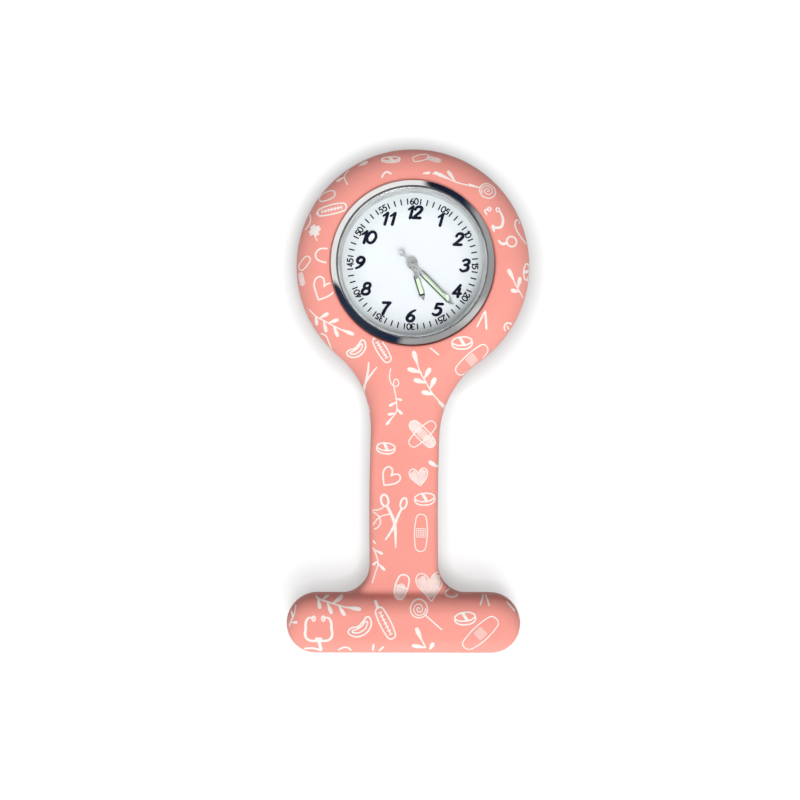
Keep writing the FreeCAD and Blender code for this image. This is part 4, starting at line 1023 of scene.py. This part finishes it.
def thermometer(length=5.6, width=1.5, nub=1.0):
    """A clinical thermometer: its scale, and its nub at the left end."""
    lines = [capsule(length, width, 1.0)]
    lines.append(line([(-length / 2 - 0.1, 0), (-length / 2 - nub, 0)], 1.9))
    inner = length - 1.6
    lines.append(straight([(-inner / 2, 0), (inner / 2, 0)], 1.0))
    for step in range(7):
        x = -inner / 2 + inner * step / 6
        lines.append(straight([(x, -0.26), (x, 0.26)], 0.7))
    return lines


def stethoscope():
    """A stethoscope's yoke with its two ear tips."""
    side = [(0.85, 1.9), (1.55, 2.0), (2.05, 1.4), (2.15, 0.2), (2.2, -1.1), (1.7, -1.7), (0, -1.85)]
    mirrored = [(-x, y) for x, y in side]
    widths = [1.0, 1.3, 1.6, 1.8, 1.8, 1.7, 1.7]
    return [line(side, widths), line(mirrored, widths),
            *oval(0.5, 0.8, 0, (-0.8, 1.85), 1.0), *oval(0.5, 0.8, 0, (0.8, 1.85), 1.0),
            line([(-0.35, -1.55), (0.35, -1.55)], 2.2), line([(0.05, -1.8), (0.3, -3.6)], [2.4, 1.8])]


def swirl(turns=2.2, reach=1.1):
    """A spiral."""
    count = int(turns * 8)
    points = [(reach * step / count * math.cos(0.785 * step), reach * step / count * math.sin(0.785 * step))
              for step in range(1, count + 1)]
    return line(points, 0.7)


def lollipop(stick=3.6):
    """A round swirled sweet on a stick."""
    return [*oval(2.75, 2.75, 0, (0, 0), 0.85), swirl(), line([(1.35, 0), (1.35 + stick, 0)], 0.95)]


def dish():
    """A kidney dish: two nested bean shapes."""
    outer = [(1.4, 1.75), (1.95, 1.0), (1.7, -0.35), (0.4, -1.5), (-1.15, -1.6), (-1.9, -0.9), (-1.45, -0.3),
             (-0.25, 0.05), (0.55, 0.9)]
    inner = [(1.2, 0.95), (1.25, 0.3), (0.5, -0.7), (-0.75, -1.05), (-1.2, -0.85), (-0.6, -0.5), (0.35, 0.1)]
    return [line(outer, 1.1, closed=True), line(inner, 1.0, closed=True)]


def clover():
    """A small four-leaved clover."""
    lines = []
    for turn in (40, 130, 220, 310):
        lines += moved([line([(0.2, 0), (0.45, 0.2), (0.8, 0.22)], [1.6, 2.2, 1.8]),
                        line([(0.2, 0), (0.45, -0.2), (0.8, -0.22)], [1.6, 2.2, 1.8])], turn=turn)
    return lines + [line([(0, -0.2), (0.3, -0.9), (0.8, -1.5)], 0.8)]


def two_part_capsule():
    """A capsule, its lower half filled."""
    return [capsule(3.9, 1.95, 1.1), straight([(-1.1, 0), (-0.35, 0)], 6.2, pale=True),
            straight([(-0.15, -0.95), (-0.15, 0.95)], 0.9)]


def tendril():
    """A curl that ends in a few small leaves."""
    curl = [(-1.0, 5.5), (-1.2, 4.4), (-0.95, 3.1), (-0.35, 2.5), (0.3, 2.6), (0.4, 3.3), (-0.1, 3.7), (-0.45, 3.1),
            (-0.3, 2.0), (0.0, 0.6), (0.2, -1.0), (0.15, -2.0), (-0.4, -2.9), (-1.1, -3.9)]
    return [line(curl, 0.75), leaf((0.1, 0.3), (1.1, 0.0), 1.6), leaf((0.2, -0.3), (-1.2, -1.1), 1.9),
            leaf((0.2, -1.5), (1.2, -2.5), 2.0), leaf((0.1, -2.3), (-1.4, -2.6), 1.9),
            leaf((-0.6, -3.1), (-1.6, -4.5), 2.0)]


def long_sprig():
    """A long twig with leaves on both sides."""
    return sprig([(-1.6, 3.2), (-1.0, 1.6), (0.0, 0.0), (1.0, -1.7), (2.2, -3.0), (3.2, -4.0)],
                 [((-1.5, 2.9), (-2.3, 5.2)), ((-0.8, 1.6), (-3.2, 2.2)), ((-0.3, 0.7), (0.6, 2.4)),
                  ((0.1, -0.1), (-2.1, 0.4)), ((0.7, -1.0), (1.5, 0.8)), ((1.3, -2.0), (-0.7, -1.6))], 3.3) + [
                     line([(2.3, -3.2), (3.5, -4.4)], [1.6, 3.0])]


def twig():
    """A long twig with six leaves."""
    return sprig([(-4.0, 2.1), (-2.6, 1.0), (-1.2, 0.4), (0.2, -0.2), (1.7, -0.8), (2.9, -1.2)],
                 [((-2.8, 1.2), (-2.5, -0.4)), ((-2.0, 0.8), (-0.5, 1.7)), ((-1.3, 0.4), (-0.7, -1.5)),
                  ((-0.4, 0.1), (1.3, 0.8)), ((0.5, -0.3), (1.4, -2.1)), ((1.8, -0.8), (4.2, -1.5))])


def small_twig():
    """A short twig with three leaves."""
    return sprig([(-1.2, 1.6), (-0.5, 0.4), (0.3, -0.9), (1.4, -2.2)],
                 [((-0.4, 0.3), (-1.5, 2.2)), ((0.3, -0.8), (0.7, 1.0)), ((0.5, -1.4), (-0.8, -1.3))], 3.0)


def two_leaves():
    """A pair of leaves on one stalk."""
    return sprig([(1.0, -1.7), (0.3, -0.4), (-0.2, 0.6)],
                 [((0.3, -0.5), (-0.7, 1.7)), ((0.9, -1.75), (-1.3, -1.4))], 3.2)


def ring_and_tail():
    """A stethoscope's head on a piece of tube."""
    return [*oval(1.7, 1.7, 0, (0.9, 0), 1.2), line([(0.1, -0.3), (-0.7, -0.5), (-1.3, 0.0)], [1.7, 1.9, 1.3])]


def ear_tubes():
    """The upper end of a stethoscope, seen from the side."""
    return [*oval(0.55, 0.6, 0, (-1.0, 1.5), 1.0), line([(-1.2, 1.4), (-1.7, 1.3), (-1.4, 0.6)], [1.0, 1.2, 1.0]),
            *oval(0.55, 0.7, 0, (0.45, 1.5), 1.0),
            line([(0.7, 1.4), (1.2, 0.5), (1.35, -0.5), (1.0, -1.4), (0.0, -1.55)], [1.2, 1.6, 1.8, 1.8, 1.6]),
            line([(-0.3, -1.4), (-0.1, -2.2)], [2.6, 1.0])]


STROKE = 0.27                   # the printed line's width in mm, that filled bands are counted in
# Each drawing: its lines, its place on the holder in mm, its turn in degrees, its size and its squash.
DRAWINGS = {
    "printed_plasters": [
        ([capsule(2.7, 1.05, 0.7)], (0.9, 40.6), 18), ([band(2.6, 1.0)], (3.1, 40.4), -14),
        ([capsule(2.9, 1.5, 0.9)], (-14.7, 34.0), 14), ([capsule(2.6, 1.25, 0.8)], (-18.2, 22.6), 48),
        ([band(2.5, 1.1)], (-18.7, 20.0), -74), (plaster(6.7, 1.85), (10.4, 7.1), 43),
        (crossed_plasters(), (2.4, -5.6), 0), (plaster(6.3, 1.8), (2.6, -22.3), 90),
        (plaster(7.2, 2.2), (12.9, -38.3), 45),
    ],
    "printed_medicines": [
        (pill(), (-4.1, 40.2), 0, 1.0, 0.62), (pill(), (8.6, 9.8), 4, 1.1), (pill(), (19.5, 22.2), 84, 0.9),
        (pill(), (-3.7, -8.2), -5), (pill(), (3.1, -16.6), 4, 1.1), (pill(), (10.3, -35.9), 6, 1.12),
        (two_part_capsule(), (-0.4, -31.4), 74), (lollipop(1.9), (12.2, 35.3), 164, 1.0, 0.95),
        (lollipop(), (2.6, -34.6), -40, 1.02),
    ],
    "printed_hearts": [
        (heart(), (-14.8, 18.2), -22, 1.2), (heart(), (-2.9, -13.1), -36, 1.0),
        (filled_heart(), (2.0, -12.8), 12, 0.98), (filled_heart(1.45), (4.35, -31.1), 8),
    ],
    "printed_leaves": [
        (sprig([(3.0, 37.8), (5.0, 37.2), (7.0, 36.4), (8.8, 36.0), (10.8, 35.7)],
               [((6.0, 36.8), (3.0, 38.1)), ((6.7, 36.6), (5.4, 38.4))], 2.5),),
        (sprig([(1.5, 37.8), (1.9, 37.9)], [((1.4, 37.7), (2.5, 37.9))], 2.0),),
        (sprig([(-11.2, 38.6), (-11.9, 37.4), (-11.6, 36.5), (-11.2, 35.8)],
               [((-11.8, 37.3), (-13.3, 36.6))], 2.2),),
        ([leaf((-9.5, 39.3), (-8.1, 40.0), 3.2)],), (clover(), (-16.5, 28.0), -12, 1.05),
        (twig(), (-13.4, 12.5), -4), (long_sprig(), (2.8, 3.1), 0), (tendril(), (-2.2, 0.0), 0, 0.95),
        (small_twig(), (17.4, 20.1), 0), (twig(), (-11.4, -34.2), 10, 1.02), (two_leaves(), (2.9, -39.3), 0),
        ([leaf((4.6, -41.4), (5.1, -40.2), 3.0)],),
        (sprig([(-5.4, -25.1), (-4.8, -26.4), (-4.5, -27.7), (-4.9, -29.2), (-5.4, -31.0)],
               [((-5.1, -25.4), (-3.7, -26.1)), ((-4.6, -27.3), (-5.4, -28.0)), ((-4.6, -27.6), (-3.2, -28.9))],
               2.0),),
        ([leaf((5.3, -11.2), (3.6, -10.2), 3.0)],),
        (sprig([(-18.1, -34.9), (-18.3, -36.5), (-18.8, -37.5), (-19.0, -38.3)],
               [((-18.7, -37.6), (-17.6, -37.4)), ((-18.4, -36.9), (-18.8, -35.9))], 2.0),),
    ],
    "printed_instruments": [
        (thermometer(5.0, 1.35, 0.0), (-13.7, 31.5), 12), (thermometer(4.6, 1.35, 0.0), (-4.7, 8.3), -57),
        (thermometer(), (-2.9, -37.1), -62), (scissors(), (-1.9, -20.4), 0), (blades(), (-7.4, 3.6), 0),
        (ear_tubes(), (13.5, 30.6), 0), (stethoscope(), (-14.0, -38.5), 2), (dish(), (-9.1, 8.4), 0, 0.84),
        (dish(), (-7.2, -37.8), 0, 0.98), (ring_and_tail(), (15.5, 26.9), 0),
    ],
    "printed_strokes": [([
        line([(-5.4, 37.0), (-5.2, 37.5), (-4.6, 37.9), (-4.0, 37.6)], 1.2),
        line([(-17.6, 31.0), (-17.4, 30.0), (-17.6, 29.2), (-18.3, 28.4)]),
        line([(-14.3, 24.9), (-15.3, 24.9), (-16.1, 24.3), (-16.1, 23.4), (-15.5, 22.9), (-14.4, 22.6)], 1.1),
        line([(-15.2, 10.9), (-14.3, 10.5), (-13.9, 9.5), (-13.5, 8.4)]),
        line([(17.9, 30.3), (17.5, 30.9), (17.0, 30.2), (17.2, 29.1), (18.0, 28.0), (19.1, 27.0)]),
        line([(3.4, 8.8), (4.7, 7.8)], 1.1), line([(12.1, 14.9), (11.0, 12.6)], 1.1),
        line([(12.3, 15.1), (12.6, 12.3)], 1.4),
        line([(15.9, 12.2), (15.7, 12.9), (16.1, 13.4), (17.0, 13.4)], 1.1),
        line([(16.2, 12.9), (16.6, 12.5)]), line([(-7.0, -1.0), (-6.7, -2.2)]),
        line([(-5.6, -18.7), (-4.7, -18.6), (-3.9, -18.2)], 0.8),
        line([(-5.6, -19.0), (-4.7, -19.6), (-4.3, -20.5), (-4.6, -21.5), (-5.3, -21.9)], 0.8),
        line([(-5.5, -21.2), (-5.0, -20.4), (-4.2, -19.7), (-2.7, -19.3)], 0.8),
        line([(-5.4, -23.9), (-5.1, -24.3)]), *oval(2.3, 0.9, 3, (8.1, -32.3), 0.8),
        line([(9.1, -32.3), (11.2, -32.3)], 0.8), line([(13.3, -32.5), (12.8, -33.6)], 1.1),
        line([(13.8, -32.5), (14.3, -33.7)], 1.1), line([(17.3, -33.3), (18.6, -34.7)], 0.9),
        line([(-16.3, -42.0), (-15.0, -41.8), (-13.6, -42.2)], 1.6),
        line([(-10.6, -42.0), (-9.9, -41.5), (-9.1, -41.5), (-8.6, -42.0)], 1.2),
        line([(-4.8, -40.8), (-4.9, -41.9)], 1.4), line([(-3.2, -41.2), (-3.8, -41.9)], 1.3),
    ],)],
}
FLANGE_CLEAR = 13.95 * MM       # the print ends this far from the head's middle
STEEP = 5.2 * MM                # and this high above the table
LIFT = 14 * MM                  # height that the drawings drop from


def print_on_rubber(name, lines, finish, sizes):
    """Lay drawn lines on the rubber: dropped on to it, trimmed at the watch and its sides, and thickened."""
    form = printing_form[0]
    piece = draw(name, lines, sizes.line_width, LIFT, steps=6)
    layers = [vertex.co.z - LIFT for vertex in piece.data.vertices]
    apply_modifier(piece, "SHRINKWRAP", wrap_method="PROJECT", target=form, use_project_z=True,
                   use_negative_direction=True, use_positive_direction=False, offset=sizes.ink_thickness * 0.4)
    for vertex, layer in zip(piece.data.vertices, layers):
        vertex.co.z += layer
    delete_marked(piece, "VERT", lambda vertex: (vertex.co.xy - HEAD.xy).length < FLANGE_CLEAR
                  or vertex.co.z > LIFT - MM or vertex.co.z < STEEP)
    edit(piece)
    bpy.ops.mesh.delete_loose()
    leave_edit()
    apply_modifier(piece, "SOLIDIFY", thickness=sizes.ink_thickness, offset=0.0)
    clean(piece, 1e-9)
    smooth(piece, 50)
    coat(piece, finish)
    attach(piece, "holder")
    return piece


class FOB_OT_print(bpy.types.Operator):
    """Printed drawings: small medical and leaf drawings in raised white ink"""
    bl_idname = "fob.print"
    bl_label = "Printed drawings"

    def execute(self, context):
        sizes = context.scene.fob_sizes
        pale = []
        for name, drawings in DRAWINGS.items():
            lines = []
            for drawing, *where in drawings:
                lines += moved(drawing, *where)
            pale += [item for item in lines if item["pale"]]
            print_on_rubber(name, [item for item in lines if not item["pale"]], "print_white", sizes)
        print_on_rubber("printed_fills", pale, "print_pale", sizes)
        bpy.data.objects.remove(printing_form.pop())
        return {"FINISHED"}


# ---------------------------------------------------------------- watch head
# Radii and heights of the case's turned profile, in mm.
GLASS_HOLE, CASE_BORE, BACK_HOLE, BARREL = 12.5, 11.2, 11.6, 12.2
LEDGE, FLANGE_LOW, BACK_RECESS = 7.05, 6.3, 0.4
BEZEL_TALL, BEZEL_ROUND = 0.55, 2.0     # drop of the bezel's outer rim, and the radius of its rounded top
GASKET_THICK = 0.15


class FOB_OT_case(bpy.types.Operator):
    """Steel case with its polished bezel"""
    bl_idname = "fob.case"
    bl_label = "Case and bezel"

    def execute(self, context):
        flange = (CASE_HIGH.x - HEAD.x) / MM
        low, high = CASE_LOW.z / MM, CASE_HIGH.z / MM
        recess = low + BACK_RECESS
        bezel = [(GLASS_HOLE, LEDGE, 0), (CASE_BORE, LEDGE, 0), (CASE_BORE, recess, 0), (BACK_HOLE, recess, 0),
                 (BACK_HOLE, low, 0), (BARREL, low, 0.12), (BARREL, FLANGE_LOW, 0), (flange, FLANGE_LOW, 0.1),
                 (flange, high - BEZEL_TALL, 0.12)]
        chord = Vector((flange, high - BEZEL_TALL)), Vector((GLASS_HOLE, high))
        centre = arc_centre(*chord, BEZEL_ROUND)
        start, end = (math.degrees(math.atan2(spot.y - centre.y, spot.x - centre.x)) for spot in chord)
        profile = rounded(bezel, 4) + arc(centre, BEZEL_ROUND, start + 4, end - 2.5, 12)
        profile += [(GLASS_HOLE + 0.03, high - 0.03), (GLASS_HOLE, high - 0.10)]
        case = turned("steel_case", profile, steps=192)
        smooth(case, 40)
        coat(case, "polished_steel")
        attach(case, "watch_head")
        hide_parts("watch_case")
        return {"FINISHED"}


def arc_centre(start, end, radius):
    """The centre of the short anticlockwise arc between two points."""
    chord = end - start
    side = Vector((-chord.y, chord.x)).normalized()
    return (start + end) / 2 + side * math.sqrt(radius ** 2 - (chord.length / 2) ** 2)


class FOB_OT_glass(bpy.types.Operator):
    """Flat glass, its gasket and the sloping ring under it"""
    bl_idname = "fob.glass"
    bl_label = "Glass and inner ring"

    def execute(self, context):
        low, high = GLASS_LOW.z / MM, GLASS_HIGH.z / MM
        radius = (GLASS_HIGH.x - HEAD.x) / MM
        glass = turned("watch_glass", [(0, low), (radius - 0.1, low), (radius, low + 0.1), (radius, high - 0.22),
                                       (radius - 0.06, high - 0.08), (radius - 0.2, high), (0, high)],
                       closed=False)
        smooth(glass, 30)
        coat(glass, "glass")
        glass.visible_shadow = False
        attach(glass, "watch_head")
        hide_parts("crystal")
        gasket = turned("glass_gasket", [(radius, low), (radius + GASKET_THICK, low),
                                         (radius + GASKET_THICK, high - 0.3), (radius, high - 0.3)])
        smooth(gasket, 40)
        coat(gasket, "gasket_grey")
        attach(gasket, "watch_head")
        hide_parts("crystal_gasket")
        foot = DIAL_TOP / MM
        step = [(11.85, foot, 0), (GLASS_HOLE, foot, 0), (GLASS_HOLE, low, 0), (12.34, low, 0.04),
                (12.28, low - 0.45, 0.05), (12.16, low - 0.62, 0.05), (12.06, low - 0.5, 0.04),
                (12.0, foot + 0.9, 0.06), (11.85, foot + 0.5, 0.05)]
        ring = turned("inner_ring", rounded(step, 3))
        smooth(ring, 40)
        coat(ring, "rehaut")
        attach(ring, "watch_head")
        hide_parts("rehaut_ring")
        return {"FINISHED"}


SLOT_HALF = 0.27 * MM           # half the width of a hand's luminous slot
STUD_HOLE = 0.14 * MM           # radius of the centre stud's dimple, painted near black as shade
PAINTED_SHADE_SLOPE = 0.8, 0.99              # a border's face with an upright share within these limits, on the hand's one side, is painted near black as shade
HUB_REACH = 1.3 * MM            # the hub ends this far from the middle
FACET_SLOPE = 0.42              # how steeply a hand's borders fall away from its slot


def faceted(piece):
    """Slope a hand's two borders down from its slot: one stays polished, the other is painted near black as shade.
    """
    apply_modifier(piece, "TRIANGULATE")
    spots = [vertex.co.xy - HEAD.xy for vertex in piece.data.vertices]
    along = max(spots, key=lambda spot: spot.length).normalized()
    heights = [vertex.co.z for vertex in piece.data.vertices]
    middle = (max(heights) + min(heights)) / 2
    for vertex, spot in zip(piece.data.vertices, spots):
        aside = abs(along.cross(spot)) - SLOT_HALF
        if vertex.co.z > middle and spot.dot(along) > HUB_REACH and aside > 0:
            vertex.co.z -= FACET_SLOPE * aside
    smooth(piece, 12)
    # Painted shade: the border's faces on one side get the near-black finish.
    piece.data.materials.append(finishes["painted_hand_shade"])
    for face in piece.data.polygons:
        if PAINTED_SHADE_SLOPE[0] < face.normal.z < PAINTED_SHADE_SLOPE[1] and along.cross(face.normal.xy) < 0:
            face.material_index = 1


class FOB_OT_hands(bpy.types.Operator):
    """Hands with eased edges and their luminous fill"""
    bl_idname = "fob.hands"
    bl_label = "Hands"

    def execute(self, context):
        for node, body in (("hour_hand", "hours"), ("minute_hand", "minutes"), ("second_hand", "seconds")):
            piece = refined(node, "shaped_" + node, 0.03 * MM, "hand_silver", body)
            if body != "seconds":
                faceted(piece)
            refined(node + "_lume", "shaped_" + node + "_fill", 0.03 * MM, "lume", body)
        top = max(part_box("second_hand")[1].z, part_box("seconds_wheel")[1].z) / MM
        stud = turned("centre_stud", [(0, top - 0.05), (0.26, top - 0.05), (0.26, top + 0.04), (0.22, top + 0.08),
                                      (0.12, top + 0.08), (0.08, top + 0.02), (0, top + 0.02)],
                      closed=False, steps=48)
        smooth(stud, 30)
        coat(stud, "hand_silver")
        # Painted shade: the faces in the stud's dimple get the near-black finish.
        stud.data.materials.append(finishes["painted_hand_shade"])
        for face in stud.data.polygons:
            if (face.center.xy - HEAD.xy).length < STUD_HOLE:
                face.material_index = 1
        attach(stud, "seconds")
        return {"FINISHED"}


class FOB_OT_back(bpy.types.Operator):
    """Snap-on case back and the crown at the side"""
    bl_idname = "fob.back"
    bl_label = "Case back and crown"

    def execute(self, context):
        low, high = BACK_LOW.z / MM, BACK_HIGH.z / MM
        radius = (BACK_HIGH.x - HEAD.x) / MM
        profile = [(0, low + 0.12), (7.6, low + 0.12), (7.8, low), (radius - 0.25, low), (radius - 0.06, low + 0.1),
                   (radius, low + 0.25), (radius, low + 0.5), (11.15, low + 0.5), (11.15, high), (10.7, high),
                   (10.7, low + 0.5), (0, low + 0.5)]
        back = turned("snap_back", profile, closed=False)
        smooth(back, 30)
        coat(back, "ring_brushed")
        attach(back, "watch_head")
        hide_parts("case_back")
        refined("crown", "fluted_crown", 0.04 * MM, "polished_steel", "crown")
        return {"FINISHED"}


# ---------------------------------------------------------------- brooch
class FOB_OT_brooch(bpy.types.Operator):
    """Brooch behind the bar: plate, rivet, needle and its catch"""
    bl_idname = "fob.brooch"
    bl_label = "Brooch pin"

    def execute(self, context):
        refined("brooch_plate", "brooch_strip", 0.1 * MM, "satin_steel", "holder")
        refined("hinge_rivet", "brooch_rivet", 0.07 * MM, "satin_steel", "holder")
        refined("catch_housing", "brooch_housing", 0.05 * MM, "satin_steel", "holder")
        refined("brooch_needle", "sprung_needle", 0.05 * MM, "polished_steel", "needle")
        refined("catch_sleeve", "turning_catch", 0.05 * MM, "satin_steel", "catch_sleeve")
        return {"FINISHED"}


class FOB_OT_inside(bpy.types.Operator):
    """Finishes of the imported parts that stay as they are, inside the watch"""
    bl_idname = "fob.inside"
    bl_label = "Movement"

    def execute(self, context):
        slots = {part["node"]: part["material_slot"] for part in frame["record"]["subparts"]}
        for name, node in frame["nodes"].items():
            if node.hide_render:
                continue
            node.data.materials.clear()
            node.data.materials.append(finishes[slots[name]])
        return {"FINISHED"}


# ---------------------------------------------------------------- stage
def grey(value):
    """A grey of equal shares."""
    return value, value, value


# Reflection ring: the shade seen at each bearing, clockwise from +Y in degrees.
WHITE, NAVY, BLACK = (1.02, 1.01, 1.0), (0.011, 0.026, 0.060), (0.010, 0.012, 0.028)
RING = (
    (0, WHITE), (4, WHITE), (8, BLACK), (33, NAVY), (38, (0.10, 0.11, 0.13)), (46, (0.40, 0.40, 0.41)),
    (66, grey(0.42)), (92, grey(0.36)), (106, grey(0.4)), (118, (0.72, 0.71, 0.71)),
    (128, grey(0.7)), (142, grey(0.44)), (166, grey(0.4)), (186, grey(0.44)),
    (192, NAVY), (222, (0.030, 0.042, 0.070)), (240, (0.022, 0.040, 0.075)), (259, NAVY), (264, WHITE),
    (360, WHITE),
)
RING_REACH = 0.55               # metres from the head's middle
RING_LOW, RING_HIGH = 2.0, 77.0                         # degrees above the table
KEY_BEARING, KEY_HEIGHT, KEY_ANGLE, KEY_STRENGTH = 156, 65, 30, 2.34
ROOM_LEVELS = ((0.0, 0.28), (0.49, 0.28), (0.51, 0.50), (0.93, 0.50), (0.965, 0.05))   # from below to above
BRIGHT_SIDE = (-0.26, -0.966, 0.0)
DIM, BRIGHT = 0.30, 1.70
CAMERA_AIM = Vector((-1.58 * MM, -0.035 * MM, 4.2 * MM))
CAMERA_PLACE = Vector((1.7 * MM, 2.7 * MM, 174.2 * MM))
CAMERA_LEAN = 1.5               # degrees
VIEW_WIDTH = 137.6 * MM         # at the point aimed at
SENSOR = 36


def ring_shade(bearing):
    """The ring's shade at a bearing."""
    for (start, low), (end, high) in zip(RING, RING[1:]):
        if start <= bearing <= end:
            share = (bearing - start) / (end - start)
            return tuple(a + (b - a) * share for a, b in zip(low, high))
    return RING[-1][1]


def reflection_ring():
    """A studio ring about the watch, seen only in its reflections."""
    deselect()
    bpy.ops.mesh.primitive_grid_add(x_subdivisions=360, y_subdivisions=6, size=2)
    piece = named(bpy.context.object, "reflection_ring")
    shades = piece.data.color_attributes.new("shade", "FLOAT_COLOR", "POINT")
    for vertex in piece.data.vertices:
        degrees = 180 * (vertex.co.x + 1)
        bearing = math.radians(degrees)
        height = math.radians(RING_LOW + (RING_HIGH - RING_LOW) * (vertex.co.y + 1) / 2)
        shades.data[vertex.index].color = (*ring_shade(degrees), 1)
        vertex.co = (HEAD.x + RING_REACH * math.sin(bearing) * math.cos(height),
                     HEAD.y + RING_REACH * math.cos(bearing) * math.cos(height), RING_REACH * math.sin(height))
    material = bpy.data.materials.new("reflection_ring")
    material.use_nodes = True
    tree = material.node_tree
    tree.nodes.clear()
    glow = add(tree, "Emission", {"Color": add(tree, "Attribute", {}, "Color", attribute_name="shade")})
    feed(tree, tree.nodes.new("ShaderNodeOutputMaterial"), {"Surface": glow})
    piece.data.materials.append(material)
    for rays in ("camera", "diffuse", "shadow", "volume_scatter"):
        setattr(piece, "visible_" + rays, False)


def key_light():
    """A broad soft light from a bearing (clockwise from +Y) and a height."""
    deselect()
    turn, rise = math.radians(KEY_BEARING), math.radians(KEY_HEIGHT)
    toward = Vector((math.sin(turn) * math.cos(rise), math.cos(turn) * math.cos(rise), math.sin(rise)))
    bpy.ops.object.light_add(type="SUN", location=toward)
    piece = bpy.context.object
    piece.name = "key_light"
    piece.data.energy = KEY_STRENGTH
    piece.data.angle = math.radians(KEY_ANGLE)
    piece.rotation_mode = "QUATERNION"
    piece.rotation_quaternion = (-toward).to_track_quat("-Z", "Y")
    piece.visible_glossy = False


def room_light(tree, background):
    """A pale room, brighter on one side and dark in the middle of its ceiling, white to the camera."""
    toward = add(tree, "TexCoord", {}, "Generated")
    height = add(tree, "SeparateXYZ", {"Vector": toward}, "Z")
    share = add(tree, "MapRange", {"Value": height, "From Min": -1.0})
    levels = add(tree, "ValToRGB", {"Fac": share}, "Color")
    ramp = levels.node.color_ramp
    while len(ramp.elements) < len(ROOM_LEVELS):
        ramp.elements.new(1.0)
    for element, (position, value) in zip(ramp.elements, ROOM_LEVELS):
        element.position = position
        element.color = (value, value, value, 1)
    side = add(tree, "VectorMath", {0: toward, 1: BRIGHT_SIDE}, "Value", operation="DOT_PRODUCT")
    lift = add(tree, "MapRange", {"Value": side, "From Min": -1.0, "To Min": DIM, "To Max": BRIGHT})
    lifted = add(tree, "Math", {0: levels, 1: lift}, operation="MULTIPLY")
    seen = add(tree, "LightPath", {}, "Is Camera Ray")
    strength = add(tree, "Mix", {"Factor": seen, "A": lifted, "B": 1.0})
    feed(tree, background, {"Color": (1, 1, 1, 1), "Strength": strength})


def table_top(colour):
    """A paper table top that glows evenly, with a painted contact shadow: its glow is dimmed close under and beside
    the watch.
    """
    deselect()
    bpy.ops.mesh.primitive_plane_add(size=6)
    table = named(bpy.context.object, "table_top")
    material, tree, shader = new_finish("table_paper_painted_shadow")
    speckle = noise(tree, object_pattern(tree), 400.0)
    # Painted shadow: where the watch is near, the table's glow falls from 0.74 to 0.12.
    painted_shadow_mask = add(tree, "AmbientOcclusion", {"Distance": 4.5 * MM}, "AO", samples=12)
    feed(tree, shader, {
        "Base Color": ramp_colours(tree, speckle, shade(colour, 0.995), colour),
        "Roughness": 0.9, "Specular IOR Level": 0.1, "Emission Color": (1, 1, 1, 1),
        "Emission Strength": add(tree, "MapRange", {"Value": painted_shadow_mask, "From Min": 0.3, "To Min": 0.12,
                                                    "To Max": 0.74})})
    table.data.materials.append(material)
    table.visible_diffuse = False


def aim_camera(context):
    """The camera, high above the watch and leaning a little."""
    back = (CAMERA_PLACE - CAMERA_AIM).normalized()
    lean = math.radians(CAMERA_LEAN)
    right = Vector((-math.sin(lean), math.cos(lean), 0)).cross(back).normalized()
    bpy.ops.object.camera_add(location=CAMERA_PLACE)
    camera = context.object
    camera.name = "camera"
    camera.rotation_mode = "QUATERNION"
    camera.rotation_quaternion = Matrix((right, back.cross(right), back)).transposed().to_quaternion()
    camera.data.sensor_width = SENSOR
    camera.data.lens = SENSOR * (CAMERA_PLACE - CAMERA_AIM).length / VIEW_WIDTH
    camera.data.clip_start = 0.005
    context.scene.camera = camera


class FOB_OT_stage(bpy.types.Operator):
    """Table top, pale room, key light, reflection ring and the camera"""
    bl_idname = "fob.stage"
    bl_label = "Stage"

    def execute(self, context):
        table_top(tuple(context.scene.fob_colours.floor))
        world = bpy.data.worlds.new("soft_room")
        context.scene.world = world
        world.use_nodes = True
        background = next(node for node in world.node_tree.nodes if node.type == "BACKGROUND")
        room_light(world.node_tree, background)
        key_light()
        reflection_ring()
        aim_camera(context)
        context.scene.view_settings.view_transform = "Standard"
        return {"FINISHED"}


OPERATORS = (FOB_OT_holder, FOB_OT_print, FOB_OT_case, FOB_OT_glass, FOB_OT_numerals, FOB_OT_minute_track,
             FOB_OT_hands, FOB_OT_back, FOB_OT_brooch, FOB_OT_inside, FOB_OT_stage)


class FOB_PT_panel(bpy.types.Panel):
    """Sidebar panel with the sizes, the colours and a button for each piece"""
    bl_label = "Fob Watch"
    bl_idname = "FOB_PT_panel"
    bl_space_type = "VIEW_3D"
    bl_region_type = "UI"
    bl_category = "Fob Watch"

    def draw(self, context):
        layout = self.layout
        for group in (context.scene.fob_sizes, context.scene.fob_colours):
            box = layout.box()
            for name in group.bl_rna.properties.keys():
                if name not in ("rna_type", "name"):
                    box.prop(group, name)
        for operator in OPERATORS:
            layout.operator(operator.bl_idname)


CLASSES = (FobWatchSizes, FobWatchColours, *OPERATORS, FOB_PT_panel)


def register():
    for item in CLASSES:
        bpy.utils.register_class(item)
    bpy.types.Scene.fob_sizes = bpy.props.PointerProperty(type=FobWatchSizes)
    bpy.types.Scene.fob_colours = bpy.props.PointerProperty(type=FobWatchColours)


def unregister():
    del bpy.types.Scene.fob_colours
    del bpy.types.Scene.fob_sizes
    for item in reversed(CLASSES):
        bpy.utils.unregister_class(item)


def main():
    register()
    make_finishes(bpy.context.scene.fob_colours)
    for operator in OPERATORS:
        getattr(bpy.ops.fob, operator.bl_idname.split(".")[1])()


if __name__ == "__main__":
    main()
